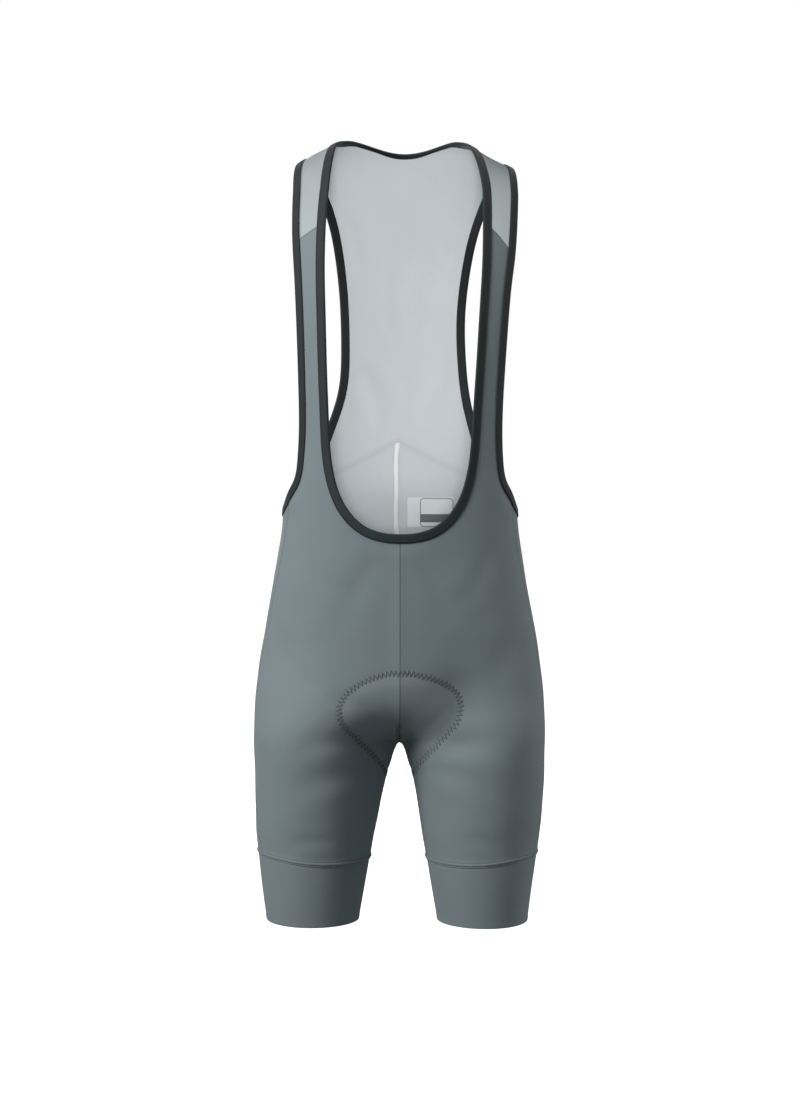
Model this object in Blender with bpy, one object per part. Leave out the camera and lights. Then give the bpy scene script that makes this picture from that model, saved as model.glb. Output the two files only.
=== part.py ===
# Cycling bib shorts, filled out as worn and carried by the shoulders.
# Metres, +Z up. The front faces -Y and +X is the wearer's left.
# The origin lies level with the top of the shoulder straps, mid-way between them.

import bpy
import numpy as np

PI = np.pi

# Cloth and joins
CLOTH = 0.0012            # wall of every knitted panel
SEAM_GAP = 0.0003         # between pieces that are sewn edge to edge
BINDING_WIDTH = 0.009     # binding over the cloth, inside and outside
BINDING_WALL = 0.001
BINDING_GAP = 0.0004      # between the binding and the cloth that it folds round
PAD_GAP = 0.0018
PAD_ARCH = 0.0015         # added to its gap over the narrow arch between the legs
ARCH_SPREAD = (0.022, 0.055)    # of that arch, across and from front to back
PAD_EDGE = 0.0020         # pad thickness at its rim
PAD_LOFT = 0.0060         # added at its middle
TRIM_GAP = 0.0005
TRIM_WALL = 0.0010

# Heights of the garment, down from the shoulders
ROUNDING = -0.250         # the body starts to close towards the shoulder ridge
NECK_LOW = -0.4371        # bottom of the front scoop
NAPE = 0.0157             # back neck at its middle
BACK_PEAK = -0.325        # top of the seam under the upper back, at the middle
BACK_JOIN = -0.3845       # its end, at the armhole
ARM_CORNER = -0.386       # armhole at the front side seam
SCOOP_SIDE = -0.455       # side seam, level with the row that meets the scoop
CROTCH = -0.673
BAND_TOP = -0.805
HEM = -0.875

# Shape of the body form
WEB = 0.035               # softens the split between the legs
BLEND = 0.120             # height over which two legs become one torso
RIDGE_SLOPE = 0.545       # fall of the shoulders
RIDGE_REACH = 0.100       # where the ridge is level with the origin
RIDGE_NAPE = 0.015
BACK_SEAM_BEND = 0.08     # how far the slanted seam under the upper back strays from straight

# depth, middle across, spread across, middle height, spread in height
SEAT_SWELL = (0.010, 0.075, 0.050, -0.625, 0.055)
FRONT_SWELL = (-0.004, 0.0, 0.055, -0.640, 0.045)

# height, half width, front, back, widest line, fullness of the outline
SECTIONS = (
    (-0.875, 0.1500, -0.0600, 0.0620, 0.0000, 2.05),
    (-0.805, 0.1596, -0.0730, 0.0730, 0.0000, 2.05),
    (-0.740, 0.1636, -0.0830, 0.0840, 0.0005, 2.10),
    (-0.673, 0.1658, -0.0920, 0.0970, 0.0020, 2.20),
    (-0.620, 0.1645, -0.0965, 0.1070, 0.0040, 2.30),
    (-0.560, 0.1570, -0.0985, 0.1080, 0.0035, 2.40),
    (-0.500, 0.1462, -0.1000, 0.0980, -0.0010, 2.40),
    (-0.440, 0.1360, -0.1025, 0.0870, -0.0060, 2.40),
    (-0.400, 0.1325, -0.1040, 0.0840, -0.0080, 2.40),
    (-0.330, 0.1365, -0.1075, 0.0890, -0.0070, 2.35),
    (-0.250, 0.1460, -0.1100, 0.1000, -0.0030, 2.30),
    (-0.170, 0.1550, -0.1060, 0.1080, 0.0020, 2.30),
    (-0.080, 0.1640, -0.0960, 0.1080, 0.0070, 2.30),
    (0.000, 0.1700, -0.0880, 0.1040, 0.0090, 2.30),
    (0.060, 0.1720, -0.0850, 0.1000, 0.0100, 2.30),
)

# height, inner reach of each leg (its gap is measured past the web)
LEGS = (
    (-0.875, 0.0567),
    (-0.805, 0.0478),
    (-0.740, 0.0409),
    (-0.673, 0.0350),
)

# height, front seam, back seam of the side panel, in degrees round from the side
SIDE_SEAMS = (
    (-0.805, 30.0, -34.0),
    (-0.700, 14.0, -24.0),
    (-0.600, 13.0, -22.0),
    (-0.470, 18.0, -20.0),
    (-0.386, 22.0, -25.0),
)

# across, height of the neckline; its named rows are corners of the panels
NECK_FRONT = (
    (0.0360, -0.4298),
    (0.0585, -0.4090),    # scoop corner
    (0.0705, -0.3830),    # level with the armhole corner
    (0.0772, -0.3480),
    (0.0800, -0.3050),
    (0.0828, -0.2500),
    (0.0852, -0.1950),
    (0.0874, -0.1450),
    (0.0878, -0.0915),    # shoulder seam
    (0.0860, -0.0450),
    (0.0815, -0.0120),
    (0.0752, 0.0085),
)
NECK_RIDGE = 0.0672
NECK_BACK = (
    (0.0575, 0.0203),     # nape corner
    (0.0480, 0.0204),
    (0.0250, 0.0169),
)

# degrees round from the side, height of the armhole under the arm
UNDERARM = (
    (12.0, -0.3985),
    (0.0, -0.4040),
    (-11.0, -0.4030),
    (-19.0, -0.3965),
)

# across, height of the armhole up the back, over the ridge and down the front
ARM_BACK = (
    (0.1115, -0.3655),
    (0.1010, -0.3450),
    (0.0894, -0.3110),
    (0.0780, -0.2680),
    (0.0735, -0.2150),
    (0.0742, -0.1650),
    (0.0790, -0.1180),
    (0.0870, -0.0760),
    (0.0985, -0.0430),
)
ARM_RIDGE = 0.1205
ARM_FRONT = (
    (0.1256, -0.0350),
    (0.1250, -0.0750),
    (0.1228, -0.1145),    # shoulder seam
    (0.1196, -0.1504),
    (0.1155, -0.2100),
    (0.1125, -0.2700),
    (0.1113, -0.3180),
    (0.1130, -0.3550),
    (0.1171, -0.3755),
)

# share of the pad's length from its front, half width, share of the full loft
PAD = (
    (0.000, 0.012, 0.0),
    (0.012, 0.026, 0.1),
    (0.030, 0.040, 0.2),
    (0.055, 0.053, 0.4),
    (0.090, 0.063, 0.7),
    (0.130, 0.067, 0.9),
    (0.160, 0.065, 1.0),
    (0.200, 0.056, 1.0),
    (0.250, 0.048, 1.0),
    (0.320, 0.043, 1.0),
    (0.460, 0.040, 1.0),
    (0.580, 0.048, 1.0),
    (0.720, 0.074, 1.0),
    (0.860, 0.086, 0.8),
    (0.950, 0.076, 0.3),
    (1.000, 0.050, 0.0),
)
PAD_FRONT = -0.5886       # height of its front and back ends
PAD_BACK = -0.570
TAPE_HALF = 0.003         # tape over the centre back seam
TAPE_END = 0.003          # between the tape's ends and the pad, and the slanted seam
LABEL_ACROSS = (0.006, 0.063)
LABEL_HEIGHTS = (-0.426, -0.389)

# Mesh density
COLUMNS = 14              # across a front or lower back panel
GRADING = 1.25            # they are closer together towards the inseam
ROW_BEND = 0.93           # rows leave the crotch level almost flat at the middle
SCOOP_DROPS = (0.010, 0.016)    # from the scoop's row to the one below, at the scoop and the side
SEAM_APPROACH = 1.3       # binding widths from the armhole to the last column on the slanted seam
SCOOP_COLUMNS = 4         # of them, those that end at the scoop
LEG_ROWS = 8
TORSO_ROWS = 12
SIDE_ROWS = 4             # from the scoop's row to the armhole corner
STRAP_ROWS = 14
SIDE_COLUMNS = 4
BACK_ROWS = 18
BACK_COLUMNS = 10
NAPE_COLUMNS = 4
RIDGE_ROWS = 11
BAND_ROWS = 4
BAND_COLUMNS = 28
PAD_ROWS = 26             # closer together towards its ends
PAD_COLUMNS = 7

# colour, roughness
MATERIALS = {
    "slate_knit": ((0.165, 0.205, 0.222), 0.75),
    "pale_knit": ((0.52, 0.56, 0.58), 0.75),
    "binding_knit": ((0.020, 0.024, 0.026), 0.7),
    "pad_foam": ((0.62, 0.64, 0.65), 0.85),
    "tape_weave": ((0.75, 0.75, 0.76), 0.7),
    "label_print": ((0.45, 0.50, 0.50), 0.6),
}


def spline(knots, values):
    """Natural cubic curve through values at rising knots."""
    knots = np.asarray(knots, float)
    values = np.asarray(values, float)
    gaps = np.diff(knots)
    slopes = np.diff(values) / gaps
    matrix = np.eye(len(knots))
    right = np.zeros(len(knots))
    for i in range(1, len(knots) - 1):
        matrix[i, i - 1:i + 2] = gaps[i - 1], 2 * (gaps[i - 1] + gaps[i]), gaps[i]
        right[i] = 6 * (slopes[i] - slopes[i - 1])
    bend = np.linalg.solve(matrix, right)

    def at(place):
        i = np.clip(np.searchsorted(knots, place) - 1, 0, len(gaps) - 1)
        gap = gaps[i]
        a = knots[i + 1] - place
        b = place - knots[i]
        low = (values[i] / gap - bend[i] * gap / 6) * a
        high = (values[i + 1] / gap - bend[i + 1] * gap / 6) * b
        return (bend[i] * a ** 3 + bend[i + 1] * b ** 3) / (6 * gap) + low + high

    return at


def column_splines(table):
    columns = list(zip(*table))
    return [spline(columns[0], column) for column in columns[1:]]


half_width, front_line, back_line, middle_line, fullness = column_splines(SECTIONS)
inner_reach, = column_splines(LEGS)
front_seam_degrees, back_seam_degrees = column_splines(SIDE_SEAMS)


def unit(vectors):
    return vectors / np.linalg.norm(vectors, axis=-1, keepdims=True)


def signed_power(value, power):
    return np.sign(value) * np.abs(value) ** power


def ease(share):
    share = np.clip(share, 0, 1)
    return share * share * (3 - 2 * share)


def leg_axis(z):
    split = inner_reach(np.minimum(z, CROTCH))
    return (np.hypot(half_width(z), WEB) + split) / 2 * (1 - ease((z - CROTCH) / BLEND))


def leg_reach(z):
    return np.hypot(half_width(z), WEB) - leg_axis(z)


def middle_angle(z):
    """Angle round from the side at which the outline reaches the middle plane."""
    share = np.clip((WEB - leg_axis(z)) / leg_reach(z), -1, 1)
    return np.where(z <= CROTCH, PI, np.arccos(signed_power(share, fullness(z) / 2)))


def mound(x, z, depth, across, width, height, rise):
    return depth * np.exp(-((np.abs(x) - across) / width) ** 2 - ((z - height) / rise) ** 2)


def swell(x, z, is_back):
    return np.where(is_back, mound(x, z, *SEAT_SWELL), mound(x, z, *FRONT_SWELL))


def around(angle, z):
    """Point of the body below the chest: angle round from the side, front positive."""
    angle, z = np.broadcast_arrays(np.asarray(angle, float), np.asarray(z, float))
    turn = np.abs(angle)
    is_back = angle < 0
    power = 2 / fullness(z)
    across = leg_axis(z) + leg_reach(z) * signed_power(np.cos(turn), power)
    x = np.sqrt(np.maximum(across ** 2 - WEB ** 2, 0))
    depth = np.where(is_back, back_line(z), front_line(z)) - middle_line(z)
    bulge = np.abs(np.sin(turn)) ** power
    y = middle_line(z) + depth * bulge + swell(x, z, is_back)
    return np.stack([x, y, z], -1)


def angle_of(x, z, sign):
    share = (np.hypot(x, WEB) - leg_axis(z)) / leg_reach(z)
    return sign * np.arccos(np.clip(signed_power(share, fullness(z) / 2), -1, 1))


def ridge(x):
    return RIDGE_SLOPE * (RIDGE_REACH - np.hypot(x, RIDGE_NAPE))


def outline_share(x, z):
    """Depth of the outline at x, as a share of its full depth."""
    share = np.abs(np.hypot(x, WEB) - leg_axis(z)) / leg_reach(z)
    power = fullness(z)
    return np.maximum(1 - share ** power, 1e-6) ** (1 / power)


def on_face(x, z, sign):
    """Point above the crotch at x and z, on the back (sign 1) or the front (-1)."""
    x, z = np.broadcast_arrays(np.asarray(x, float), np.asarray(z, float))
    rise = np.clip((z - ROUNDING) / (ridge(x) - ROUNDING), 0, 1)
    line = back_line(z) if sign > 0 else front_line(z)
    depth = (line - middle_line(z)) * outline_share(x, z) * np.sqrt(1 - rise ** 3)
    return np.stack([x, middle_line(z) + depth + swell(x, z, sign > 0), z], -1)


def climb_of(x, z):
    """Progress from the shoulders' start to the ridge, even along the surface."""
    rise = (z - ROUNDING) / (ridge(x) - ROUNDING)
    return np.where(rise > 0, 1 - np.sqrt(np.clip(1 - rise, 0, None)), rise / 2)


def height_of(x, climb):
    rise = np.where(climb > 0, 2 * climb - climb ** 2, 2 * climb)
    return ROUNDING + rise * (ridge(x) - ROUNDING)


def on_ridge(x):
    z = ridge(x)
    return np.array([x, middle_line(z), z])


def outside(points):
    """Zero on the body form, positive outside it."""
    x, y, z = np.moveaxis(points, -1, 0)
    is_back = y > middle_line(z)
    depth = np.where(is_back, back_line(z), front_line(z)) - middle_line(z)
    share = (y - middle_line(z) - swell(x, z, is_back)) / depth
    power = fullness(z)
    low = np.abs((np.hypot(x, WEB) - leg_axis(z)) / leg_reach(z)) ** power + np.abs(share) ** power - 1
    rise = np.clip((z - ROUNDING) / (ridge(x) - ROUNDING), 0, None)
    high = (share / outline_share(x, z)) ** 2 + rise ** 3 - 1
    return np.where(z > ROUNDING - 0.03, high, low)


def slope(points):
    step = 2e-5
    parts = []
    for axis in range(3):
        move = np.zeros(3)
        move[axis] = step
        parts.append((outside(points + move) - outside(points - move)) / (2 * step))
    return np.stack(parts, -1)


def outward(points):
    return unit(slope(points))


def settle(points):
    """Moves points onto the body form."""
    for _ in range(6):
        lean = slope(points)
        points = points - lean * (outside(points) / np.sum(lean * lean, -1))[..., None]
    return points


def lengths(points):
    steps = np.linalg.norm(np.diff(points, axis=0), axis=1)
    return np.concatenate([[0], np.cumsum(steps)])


def at_lengths(points, places):
    run = lengths(points)
    return np.stack([np.interp(places, run, points[:, axis]) for axis in range(3)], -1)


class Line:
    """A smooth line on the body form through chosen knots."""

    def __init__(self, knots):
        knots = np.asarray(knots)
        run = lengths(knots)
        dense = np.concatenate([np.linspace(a, b, 24, endpoint=False) for a, b in zip(run, run[1:])])
        dense = np.append(dense, run[-1])
        self.points = settle(np.stack([spline(run, knots[:, axis])(dense) for axis in range(3)], -1))
        self.run = lengths(self.points)
        self.knots = self.run[::24]

    def places(self, start, end, count):
        return np.linspace(self.knots[start], self.knots[end], count)

    def at(self, places):
        return np.stack([np.interp(places, self.run, self.points[:, axis]) for axis in range(3)], -1)

    def inset(self, places, toward):
        """Points of the form at the binding's width from the line, on the side given."""
        points = self.at(places)
        along = unit(self.at(places + 0.001) - self.at(places - 0.001))
        across = np.cross(outward(points), along)
        across *= np.sign(np.sum(across * (toward - points), -1))[:, None]
        return settle(points + BINDING_WIDTH * across)


MIRROR = np.array([-1.0, 1.0, 1.0])
corner = around(np.radians(front_seam_degrees(ARM_CORNER)), ARM_CORNER)
join = around(np.radians(back_seam_degrees(BACK_JOIN)), BACK_JOIN)


def make_neck():
    knots = [on_face(0.0, NECK_LOW, -1)]
    knots += [on_face(x, z, -1) for x, z in NECK_FRONT]
    knots.append(on_ridge(NECK_RIDGE))
    knots += [on_face(x, z, 1) for x, z in NECK_BACK]
    knots.append(on_face(0.0, NAPE, 1))
    before = [knot * MIRROR for knot in knots[3:0:-1]]
    after = [knot * MIRROR for knot in knots[-2:-5:-1]]
    return Line(before + knots + after)


def make_armhole():
    knots = [corner]
    knots += [around(np.radians(angle), z) for angle, z in UNDERARM]
    knots.append(join)
    knots += [on_face(x, z, 1) for x, z in ARM_BACK]
    knots.append(on_ridge(ARM_RIDGE))
    knots += [on_face(x, z, -1) for x, z in ARM_FRONT]
    return Line(knots[-3:] + knots + knots[:4])


# Places of the named knots along each line, after the three that lead in
neck = make_neck()
NECK_START = 3
SCOOP_CORNER = NECK_START + 2
NECK_LEVEL = NECK_START + 3
NECK_SHOULDER = NECK_START + 9
NAPE_CORNER = NECK_START + len(NECK_FRONT) + 2
NECK_END = NECK_START + len(NECK_FRONT) + len(NECK_BACK) + 2

armhole = make_armhole()
ARM_START = 3
ARM_JOIN = ARM_START + len(UNDERARM) + 1
ARM_TOP = ARM_JOIN + len(ARM_BACK) + 1
ARM_SHOULDER = ARM_TOP + 3
ARM_END = ARM_TOP + len(ARM_FRONT) + 1


def make_back_seam():
    across = np.linspace(0, join[0], 9)
    share = across / join[0]
    fall = share * (1 - BACK_SEAM_BEND + BACK_SEAM_BEND * share)
    return Line(on_face(across, BACK_PEAK + (BACK_JOIN - BACK_PEAK) * fall, 1))


back_seam = make_back_seam()


def front_seam(z):
    return around(np.radians(front_seam_degrees(z)), z)


def rear_seam(z):
    return around(np.radians(back_seam_degrees(z)), z)


def between(one, two, share):
    return one * (1 - share) + two * share


def bridge(start, end, columns):
    """Evenly spaced points over the form from one point to another."""
    share = np.linspace(0, 1, 41)[:, None]
    dense = settle(start * (1 - share) + end * share)
    return at_lengths(dense, np.linspace(0, lengths(dense)[-1], columns + 1))


def seam_inset(start, end, along):
    """The point at the binding's width from an edge, on the seam that leaves it."""
    chord = unit(end - start)
    sine = np.linalg.norm(np.cross(chord, unit(along)))
    return settle(start + chord * BINDING_WIDTH / sine)


def halves(corners, points):
    """The two triangles of a quad, split along its shorter diagonal."""
    a, b, c, d = corners
    if np.linalg.norm(points[0] - points[2]) <= np.linalg.norm(points[1] - points[3]):
        return [(a, b, c), (a, c, d)]
    return [(a, b, d), (b, c, d)]


class Sheet:
    """Rows of points joined by triangles, thickened into a closed wall."""

    def __init__(self):
        self.points = []
        self.faces = []
        self.free = set()

    def row(self, points, free=()):
        start = len(self.points)
        self.points.extend(points)
        count = len(points)
        self.free.update(start + (place % count) for place in free)
        return list(range(start, start + count))

    def strip(self, low, high, closed=False):
        count = len(low)
        for i in range(count if closed else count - 1):
            j = (i + 1) % count
            corners = (low[i], low[j], high[j], high[i])
            self.faces += halves(corners, [self.points[place] for place in corners])

    def wall(self, thickness=CLOTH):
        """Vertices and faces of the closed wall, its seam edges drawn back by half a gap."""
        points = np.array(self.points)
        normals = outward(points)
        faces = np.array(self.faces)
        a, b, c = (points[faces[:, i]] for i in range(3))
        if np.sum(np.cross(b - a, c - a) * normals[faces[:, 0]]) < 0:
            faces = faces[:, ::-1]
        directed = {(f[i], f[(i + 1) % 3]) for f in faces.tolist() for i in range(3)}
        rim = [(s, e) for s, e in sorted(directed) if (e, s) not in directed]
        points = points + self.draw_back(points, normals, rim)
        inner = points - normals * thickness
        size = len(points)
        walls = [tuple(f) for f in faces.tolist()]
        walls += [(f[2] + size, f[1] + size, f[0] + size) for f in faces.tolist()]
        for s, e in rim:
            walls.append((s + size, e + size, e))
            walls.append((s + size, e, s))
        return np.vstack([points, inner]), walls

    def draw_back(self, points, normals, rim):
        shift = np.zeros_like(points)
        sides = {}
        for s, e in rim:
            direction = unit(np.cross(normals[s] + normals[e], points[e] - points[s]))
            gap = 0 if s in self.free and e in self.free else SEAM_GAP / 2
            sides.setdefault(s, []).append((direction, gap))
            sides.setdefault(e, []).append((direction, gap))
        for place, ((one, one_gap), (two, two_gap)) in sides.items():
            cosine = one @ two
            if cosine > 0.95:
                shift[place] = unit(one + two) * (one_gap + two_gap) / 2
            else:
                spread = 1 - cosine ** 2
                shift[place] = one * (one_gap - two_gap * cosine) / spread
                shift[place] += two * (two_gap - one_gap * cosine) / spread
        return shift


def add_object(name, points, faces, material_name):
    mesh = bpy.data.meshes.new(name)
    mesh.from_pydata([tuple(p) for p in points], [], faces)
    mesh.validate()
    mesh.shade_smooth()
    mesh.set_sharp_from_angle(angle=np.radians(40))
    body = bpy.data.objects.new(name, mesh)
    body.data.materials.append(materials[material_name])
    bpy.context.collection.objects.link(body)
    return body


def add_pair(name, points, faces, material_name):
    """The wearer's left piece and its mirror image."""
    add_object(name + "_left", points, faces, material_name)
    flipped = [tuple(reversed(face)) for face in faces]
    add_object(name + "_right", points * MIRROR, flipped, material_name)


def column_shares():
    return np.linspace(0, 1, COLUMNS + 1) ** GRADING


def leg_levels():
    share = np.linspace(1, 0, LEG_ROWS + 1)
    return CROTCH - (CROTCH - BAND_TOP) * share ** 2


def leg_rows(sheet, seam_degrees, sign):
    rows = []
    for z in leg_levels():
        side = np.radians(seam_degrees(z))
        rows.append(sheet.row(around(sign * PI + (side - sign * PI) * column_shares(), z)))
    for low, high in zip(rows, rows[1:]):
        sheet.strip(low, high)
    return rows[-1]


def torso_grid(top, seam_degrees, sign):
    """Points between the crotch level and a given top row, over one side of the torso."""
    heights = top[:, 2]
    angles = angle_of(top[:, 0], heights, sign)
    middle = sign * middle_angle(heights)
    side = np.radians(seam_degrees(heights))
    top_share = (angles - middle) / (side - middle)
    low_share = column_shares()
    start_bend = ROW_BEND * (1 - low_share) ** 2
    rows = []
    for v in np.linspace(0, 1, TORSO_ROWS + 1)[1:]:
        climb = (1 - start_bend) * v + start_bend * v * v
        z = CROTCH + (heights - CROTCH) * climb
        share = low_share + (top_share - low_share) * v
        middle = sign * middle_angle(z)
        side = np.radians(seam_degrees(z))
        rows.append(around(middle + (side - middle) * share, z))
    return rows


def front_panel():
    """Thigh, belly and front strap in one piece, from the band to the shoulder seam."""
    sheet = Sheet()
    last = leg_rows(sheet, front_seam_degrees, 1)
    scoop_places = neck.places(NECK_START, SCOOP_CORNER, SCOOP_COLUMNS + 1)
    scoop = neck.at(scoop_places)
    spread = COLUMNS - SCOOP_COLUMNS
    corner_in = seam_inset(scoop[-1], front_seam(SCOOP_SIDE), scoop[-1] - scoop[-2])
    reach = np.vstack([scoop[-1], bridge(corner_in, front_seam(SCOOP_SIDE), spread - 1)])
    under_scoop = neck.inset(scoop_places, scoop - [0, 0, 1])
    under_scoop[0] = on_face(0.0, NECK_LOW - BINDING_WIDTH, -1)
    drop = np.linspace(*SCOOP_DROPS, len(reach) - 1)
    below = angle_of(reach[1:, 0], reach[1:, 2], 1)
    low_reach = around(below, reach[1:, 2] - drop)
    low_reach[-1] = front_seam(SCOOP_SIDE - drop[-1])
    under = np.vstack([under_scoop, low_reach])
    for points in torso_grid(under, front_seam_degrees, 1):
        row = sheet.row(points)
        sheet.strip(last, row)
        last = row
    top = np.vstack([scoop, reach[1:]])
    row = sheet.row(top, free=range(SCOOP_COLUMNS + 1))
    sheet.strip(last, row)
    last = row[SCOOP_COLUMNS:]

    corner_low = ARM_CORNER - BINDING_WIDTH
    side_levels = np.append(np.linspace(SCOOP_SIDE, corner_low, SIDE_ROWS)[1:], ARM_CORNER)
    neck_places = np.append(neck.places(SCOOP_CORNER, NECK_LEVEL, SIDE_ROWS + 1),
                            neck.places(NECK_LEVEL, NECK_SHOULDER, STRAP_ROWS + 1)[1:])
    arm_places = armhole.places(ARM_END, ARM_SHOULDER, STRAP_ROWS + 1)
    starts = neck.at(neck_places)
    ends = np.vstack([front_seam(SCOOP_SIDE)[None], front_seam(side_levels), armhole.at(arm_places[1:])])
    starts_in = neck.inset(neck_places, ends)
    ends_in = armhole.inset(arm_places, starts[SIDE_ROWS:])
    starts_in[-1] = seam_inset(starts[-1], ends[-1], starts[-1] - starts[-2])
    ends_in[-1] = seam_inset(ends[-1], starts[-1], ends[-1] - ends[-2])
    ends_in[0] = seam_inset(ends[SIDE_ROWS], starts[SIDE_ROWS], ends[SIDE_ROWS + 1] - ends[SIDE_ROWS])
    rows = []
    for i in range(1, len(starts)):
        if i >= SIDE_ROWS:
            inner = bridge(starts_in[i], ends_in[i - SIDE_ROWS], spread - 2)
            points = np.vstack([starts[i], inner, ends[i]])
        else:
            points = np.vstack([starts[i], bridge(starts_in[i], ends[i], spread - 1)])
        rows.append(points)
        row = sheet.row(points, (0, -1) if i >= SIDE_ROWS else (0,))
        sheet.strip(last, row)
        last = row

    neck_stations = list(zip(scoop, under_scoop))
    neck_stations += [(between(starts[0], starts[1], 0.2), corner_in)] + [(r[0], r[1]) for r in rows]
    low, high = rows[SIDE_ROWS - 1], rows[SIDE_ROWS]
    arm_stations = [(low[-1], rows[SIDE_ROWS - 2][-1])]
    arm_stations += [(between(low[-1], high[-1], 0.15), low[-2])]
    arm_stations += [(r[-1], r[-2]) for r in rows[SIDE_ROWS:]]
    return sheet, neck_stations, arm_stations


def side_angles(z, shares):
    return np.radians(front_seam_degrees(z) * (1 - shares) + back_seam_degrees(z) * shares)


def side_panel():
    """Strip under the arm, from the band to the armhole."""
    sheet = Sheet()
    shares = np.linspace(0, 1, SIDE_COLUMNS + 1)
    torso = np.linspace(CROTCH, SCOOP_SIDE, TORSO_ROWS + 1)[1:]
    levels = np.concatenate([leg_levels(), torso])
    last = None
    for z in levels:
        row = sheet.row(around(side_angles(z, shares), z))
        if last:
            sheet.strip(last, row)
        last = row
    places = armhole.places(ARM_START, ARM_JOIN, SIDE_COLUMNS + 1)
    edge = armhole.at(places)
    under = armhole.inset(places, edge - [0, 0, 1])
    under[0] = front_seam(ARM_CORNER - BINDING_WIDTH)
    under[-1] = rear_seam(BACK_JOIN - BINDING_WIDTH)
    sign = np.where(under[:, 1] > middle_line(under[:, 2]), -1, 1)
    drift = angle_of(under[:, 0], under[:, 2], sign) - side_angles(under[:, 2], shares)
    for share in np.linspace(0, 1, SIDE_ROWS)[1:]:
        z = SCOOP_SIDE + (under[:, 2] - SCOOP_SIDE) * share
        row = sheet.row(around(side_angles(z, shares) + drift * share, z))
        sheet.strip(last, row)
        last = row
    row = sheet.row(edge, free=range(SIDE_COLUMNS + 1))
    sheet.strip(last, row)
    return sheet, list(zip(edge, under))


def lower_back_panel():
    """Thigh back and seat, up to the slanted seam under the upper back."""
    sheet = Sheet()
    last = leg_rows(sheet, back_seam_degrees, -1)
    top = back_seam.at(back_seam.places(0, -1, COLUMNS + 1))
    under = on_face(top[:, 0], top[:, 2] - BINDING_WIDTH, 1)
    under[-1] = rear_seam(BACK_JOIN - BINDING_WIDTH)
    grid = torso_grid(under, back_seam_degrees, -1)
    for points in grid + [top]:
        row = sheet.row(points)
        sheet.strip(last, row)
        last = row
    centre = np.array([points[0] for points in grid + [top]])
    return sheet, centre


def straight(start, end, count):
    return start + (end - start) * np.linspace(0, 1, count)[:, None]


def bow(points):
    """How far a row of points strays from evenly spaced points on its chord."""
    return points - straight(points[0], points[-1], len(points))


def upper_back_panel():
    """Racer back that runs on over both shoulders to the front straps, in one piece."""
    seam_run = back_seam.run[-1]
    low_run = np.linspace(0, seam_run - SEAM_APPROACH * BINDING_WIDTH, BACK_COLUMNS)
    low = back_seam.at(np.append(low_run, seam_run))
    nape_places = neck.places(NECK_END, NAPE_CORNER, NAPE_COLUMNS + 1)
    nape = neck.at(nape_places)
    under_nape = neck.inset(nape_places, nape - [0, -0.5, 1])
    spread = BACK_COLUMNS - NAPE_COLUMNS
    arm_places = armhole.places(ARM_JOIN, ARM_TOP, BACK_ROWS + 2)
    edge = armhole.at(arm_places)
    edge_in = armhole.inset(arm_places, edge * [0, 1, 1])
    edge_in[0] = low[-2]
    nape_in = seam_inset(nape[-1], edge_in[-1], nape[-1] - nape[-2])
    top = np.vstack([nape, bridge(nape_in, edge_in[-1], spread - 2), edge[-1]])
    under = np.vstack([under_nape, bridge(under_nape[-1], edge_in[-2], spread - 1)[1:]])

    centre = on_face(0.0, np.linspace(BACK_PEAK, NAPE - BINDING_WIDTH, BACK_ROWS + 1), 1)
    low_chart, under_chart, centre_chart, edge_chart = (
        np.stack([line[:, 0], climb_of(line[:, 0], line[:, 2])], -1)
        for line in (low[:-1], under, centre, edge_in))
    rows = [low]
    for i, v in enumerate(np.linspace(0, 1, BACK_ROWS + 1)[1:], 1):
        chart = straight(centre_chart[i], edge_chart[i], BACK_COLUMNS)
        chart += bow(low_chart) * (1 - v) ** 3 + bow(under_chart) * v ** 3
        across, climb = chart.T
        rows.append(np.vstack([on_face(across, height_of(across, climb), 1), edge[i]]))
    rows.append(top)

    sheet = Sheet()
    last = None
    for i, points in enumerate(rows):
        full = np.vstack([points[:0:-1] * MIRROR, points])
        free = [0, len(full) - 1]
        if i == len(rows) - 1:
            free += range(BACK_COLUMNS - NAPE_COLUMNS, BACK_COLUMNS + NAPE_COLUMNS + 1)
        row = sheet.row(full, free)
        if last:
            sheet.strip(last, row)
        last = row

    neck_places = neck.places(NAPE_CORNER, NECK_SHOULDER, RIDGE_ROWS + 1)[1:]
    arm_places = armhole.places(ARM_TOP, ARM_SHOULDER, RIDGE_ROWS + 1)[1:]
    starts = neck.at(neck_places)
    ends = armhole.at(arm_places)
    starts_in = neck.inset(neck_places, ends)
    ends_in = armhole.inset(arm_places, starts)
    starts_in[-1] = seam_inset(starts[-1], ends[-1], starts[-1] - starts[-2])
    ends_in[-1] = seam_inset(ends[-1], starts[-1], ends[-1] - ends[-2])
    straps = [np.vstack([a, bridge(b, c, spread - 2), d])
              for a, b, c, d in zip(starts, starts_in, ends_in, ends)]
    left = last[BACK_COLUMNS + NAPE_COLUMNS:]
    right = last[BACK_COLUMNS - NAPE_COLUMNS::-1]
    for points in straps:
        row = sheet.row(points, free=(0, -1))
        sheet.strip(left, row)
        left = row
        row = sheet.row(points * MIRROR, free=(0, -1))
        sheet.strip(right[::-1], row[::-1])
        right = row

    neck_stations = [(r[0], r[1]) for r in straps[::-1]]
    neck_stations += [(between(nape[-1], starts[0], 0.2), nape_in)]
    neck_stations += list(zip(nape[::-1], under_nape[::-1]))
    arm_stations = [(between(edge[0], edge[1], 0.1), low[-2])]
    arm_stations += list(zip(edge[1:], edge_in[1:])) + [(r[-1], r[-2]) for r in straps]
    return sheet, neck_stations, arm_stations


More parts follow.
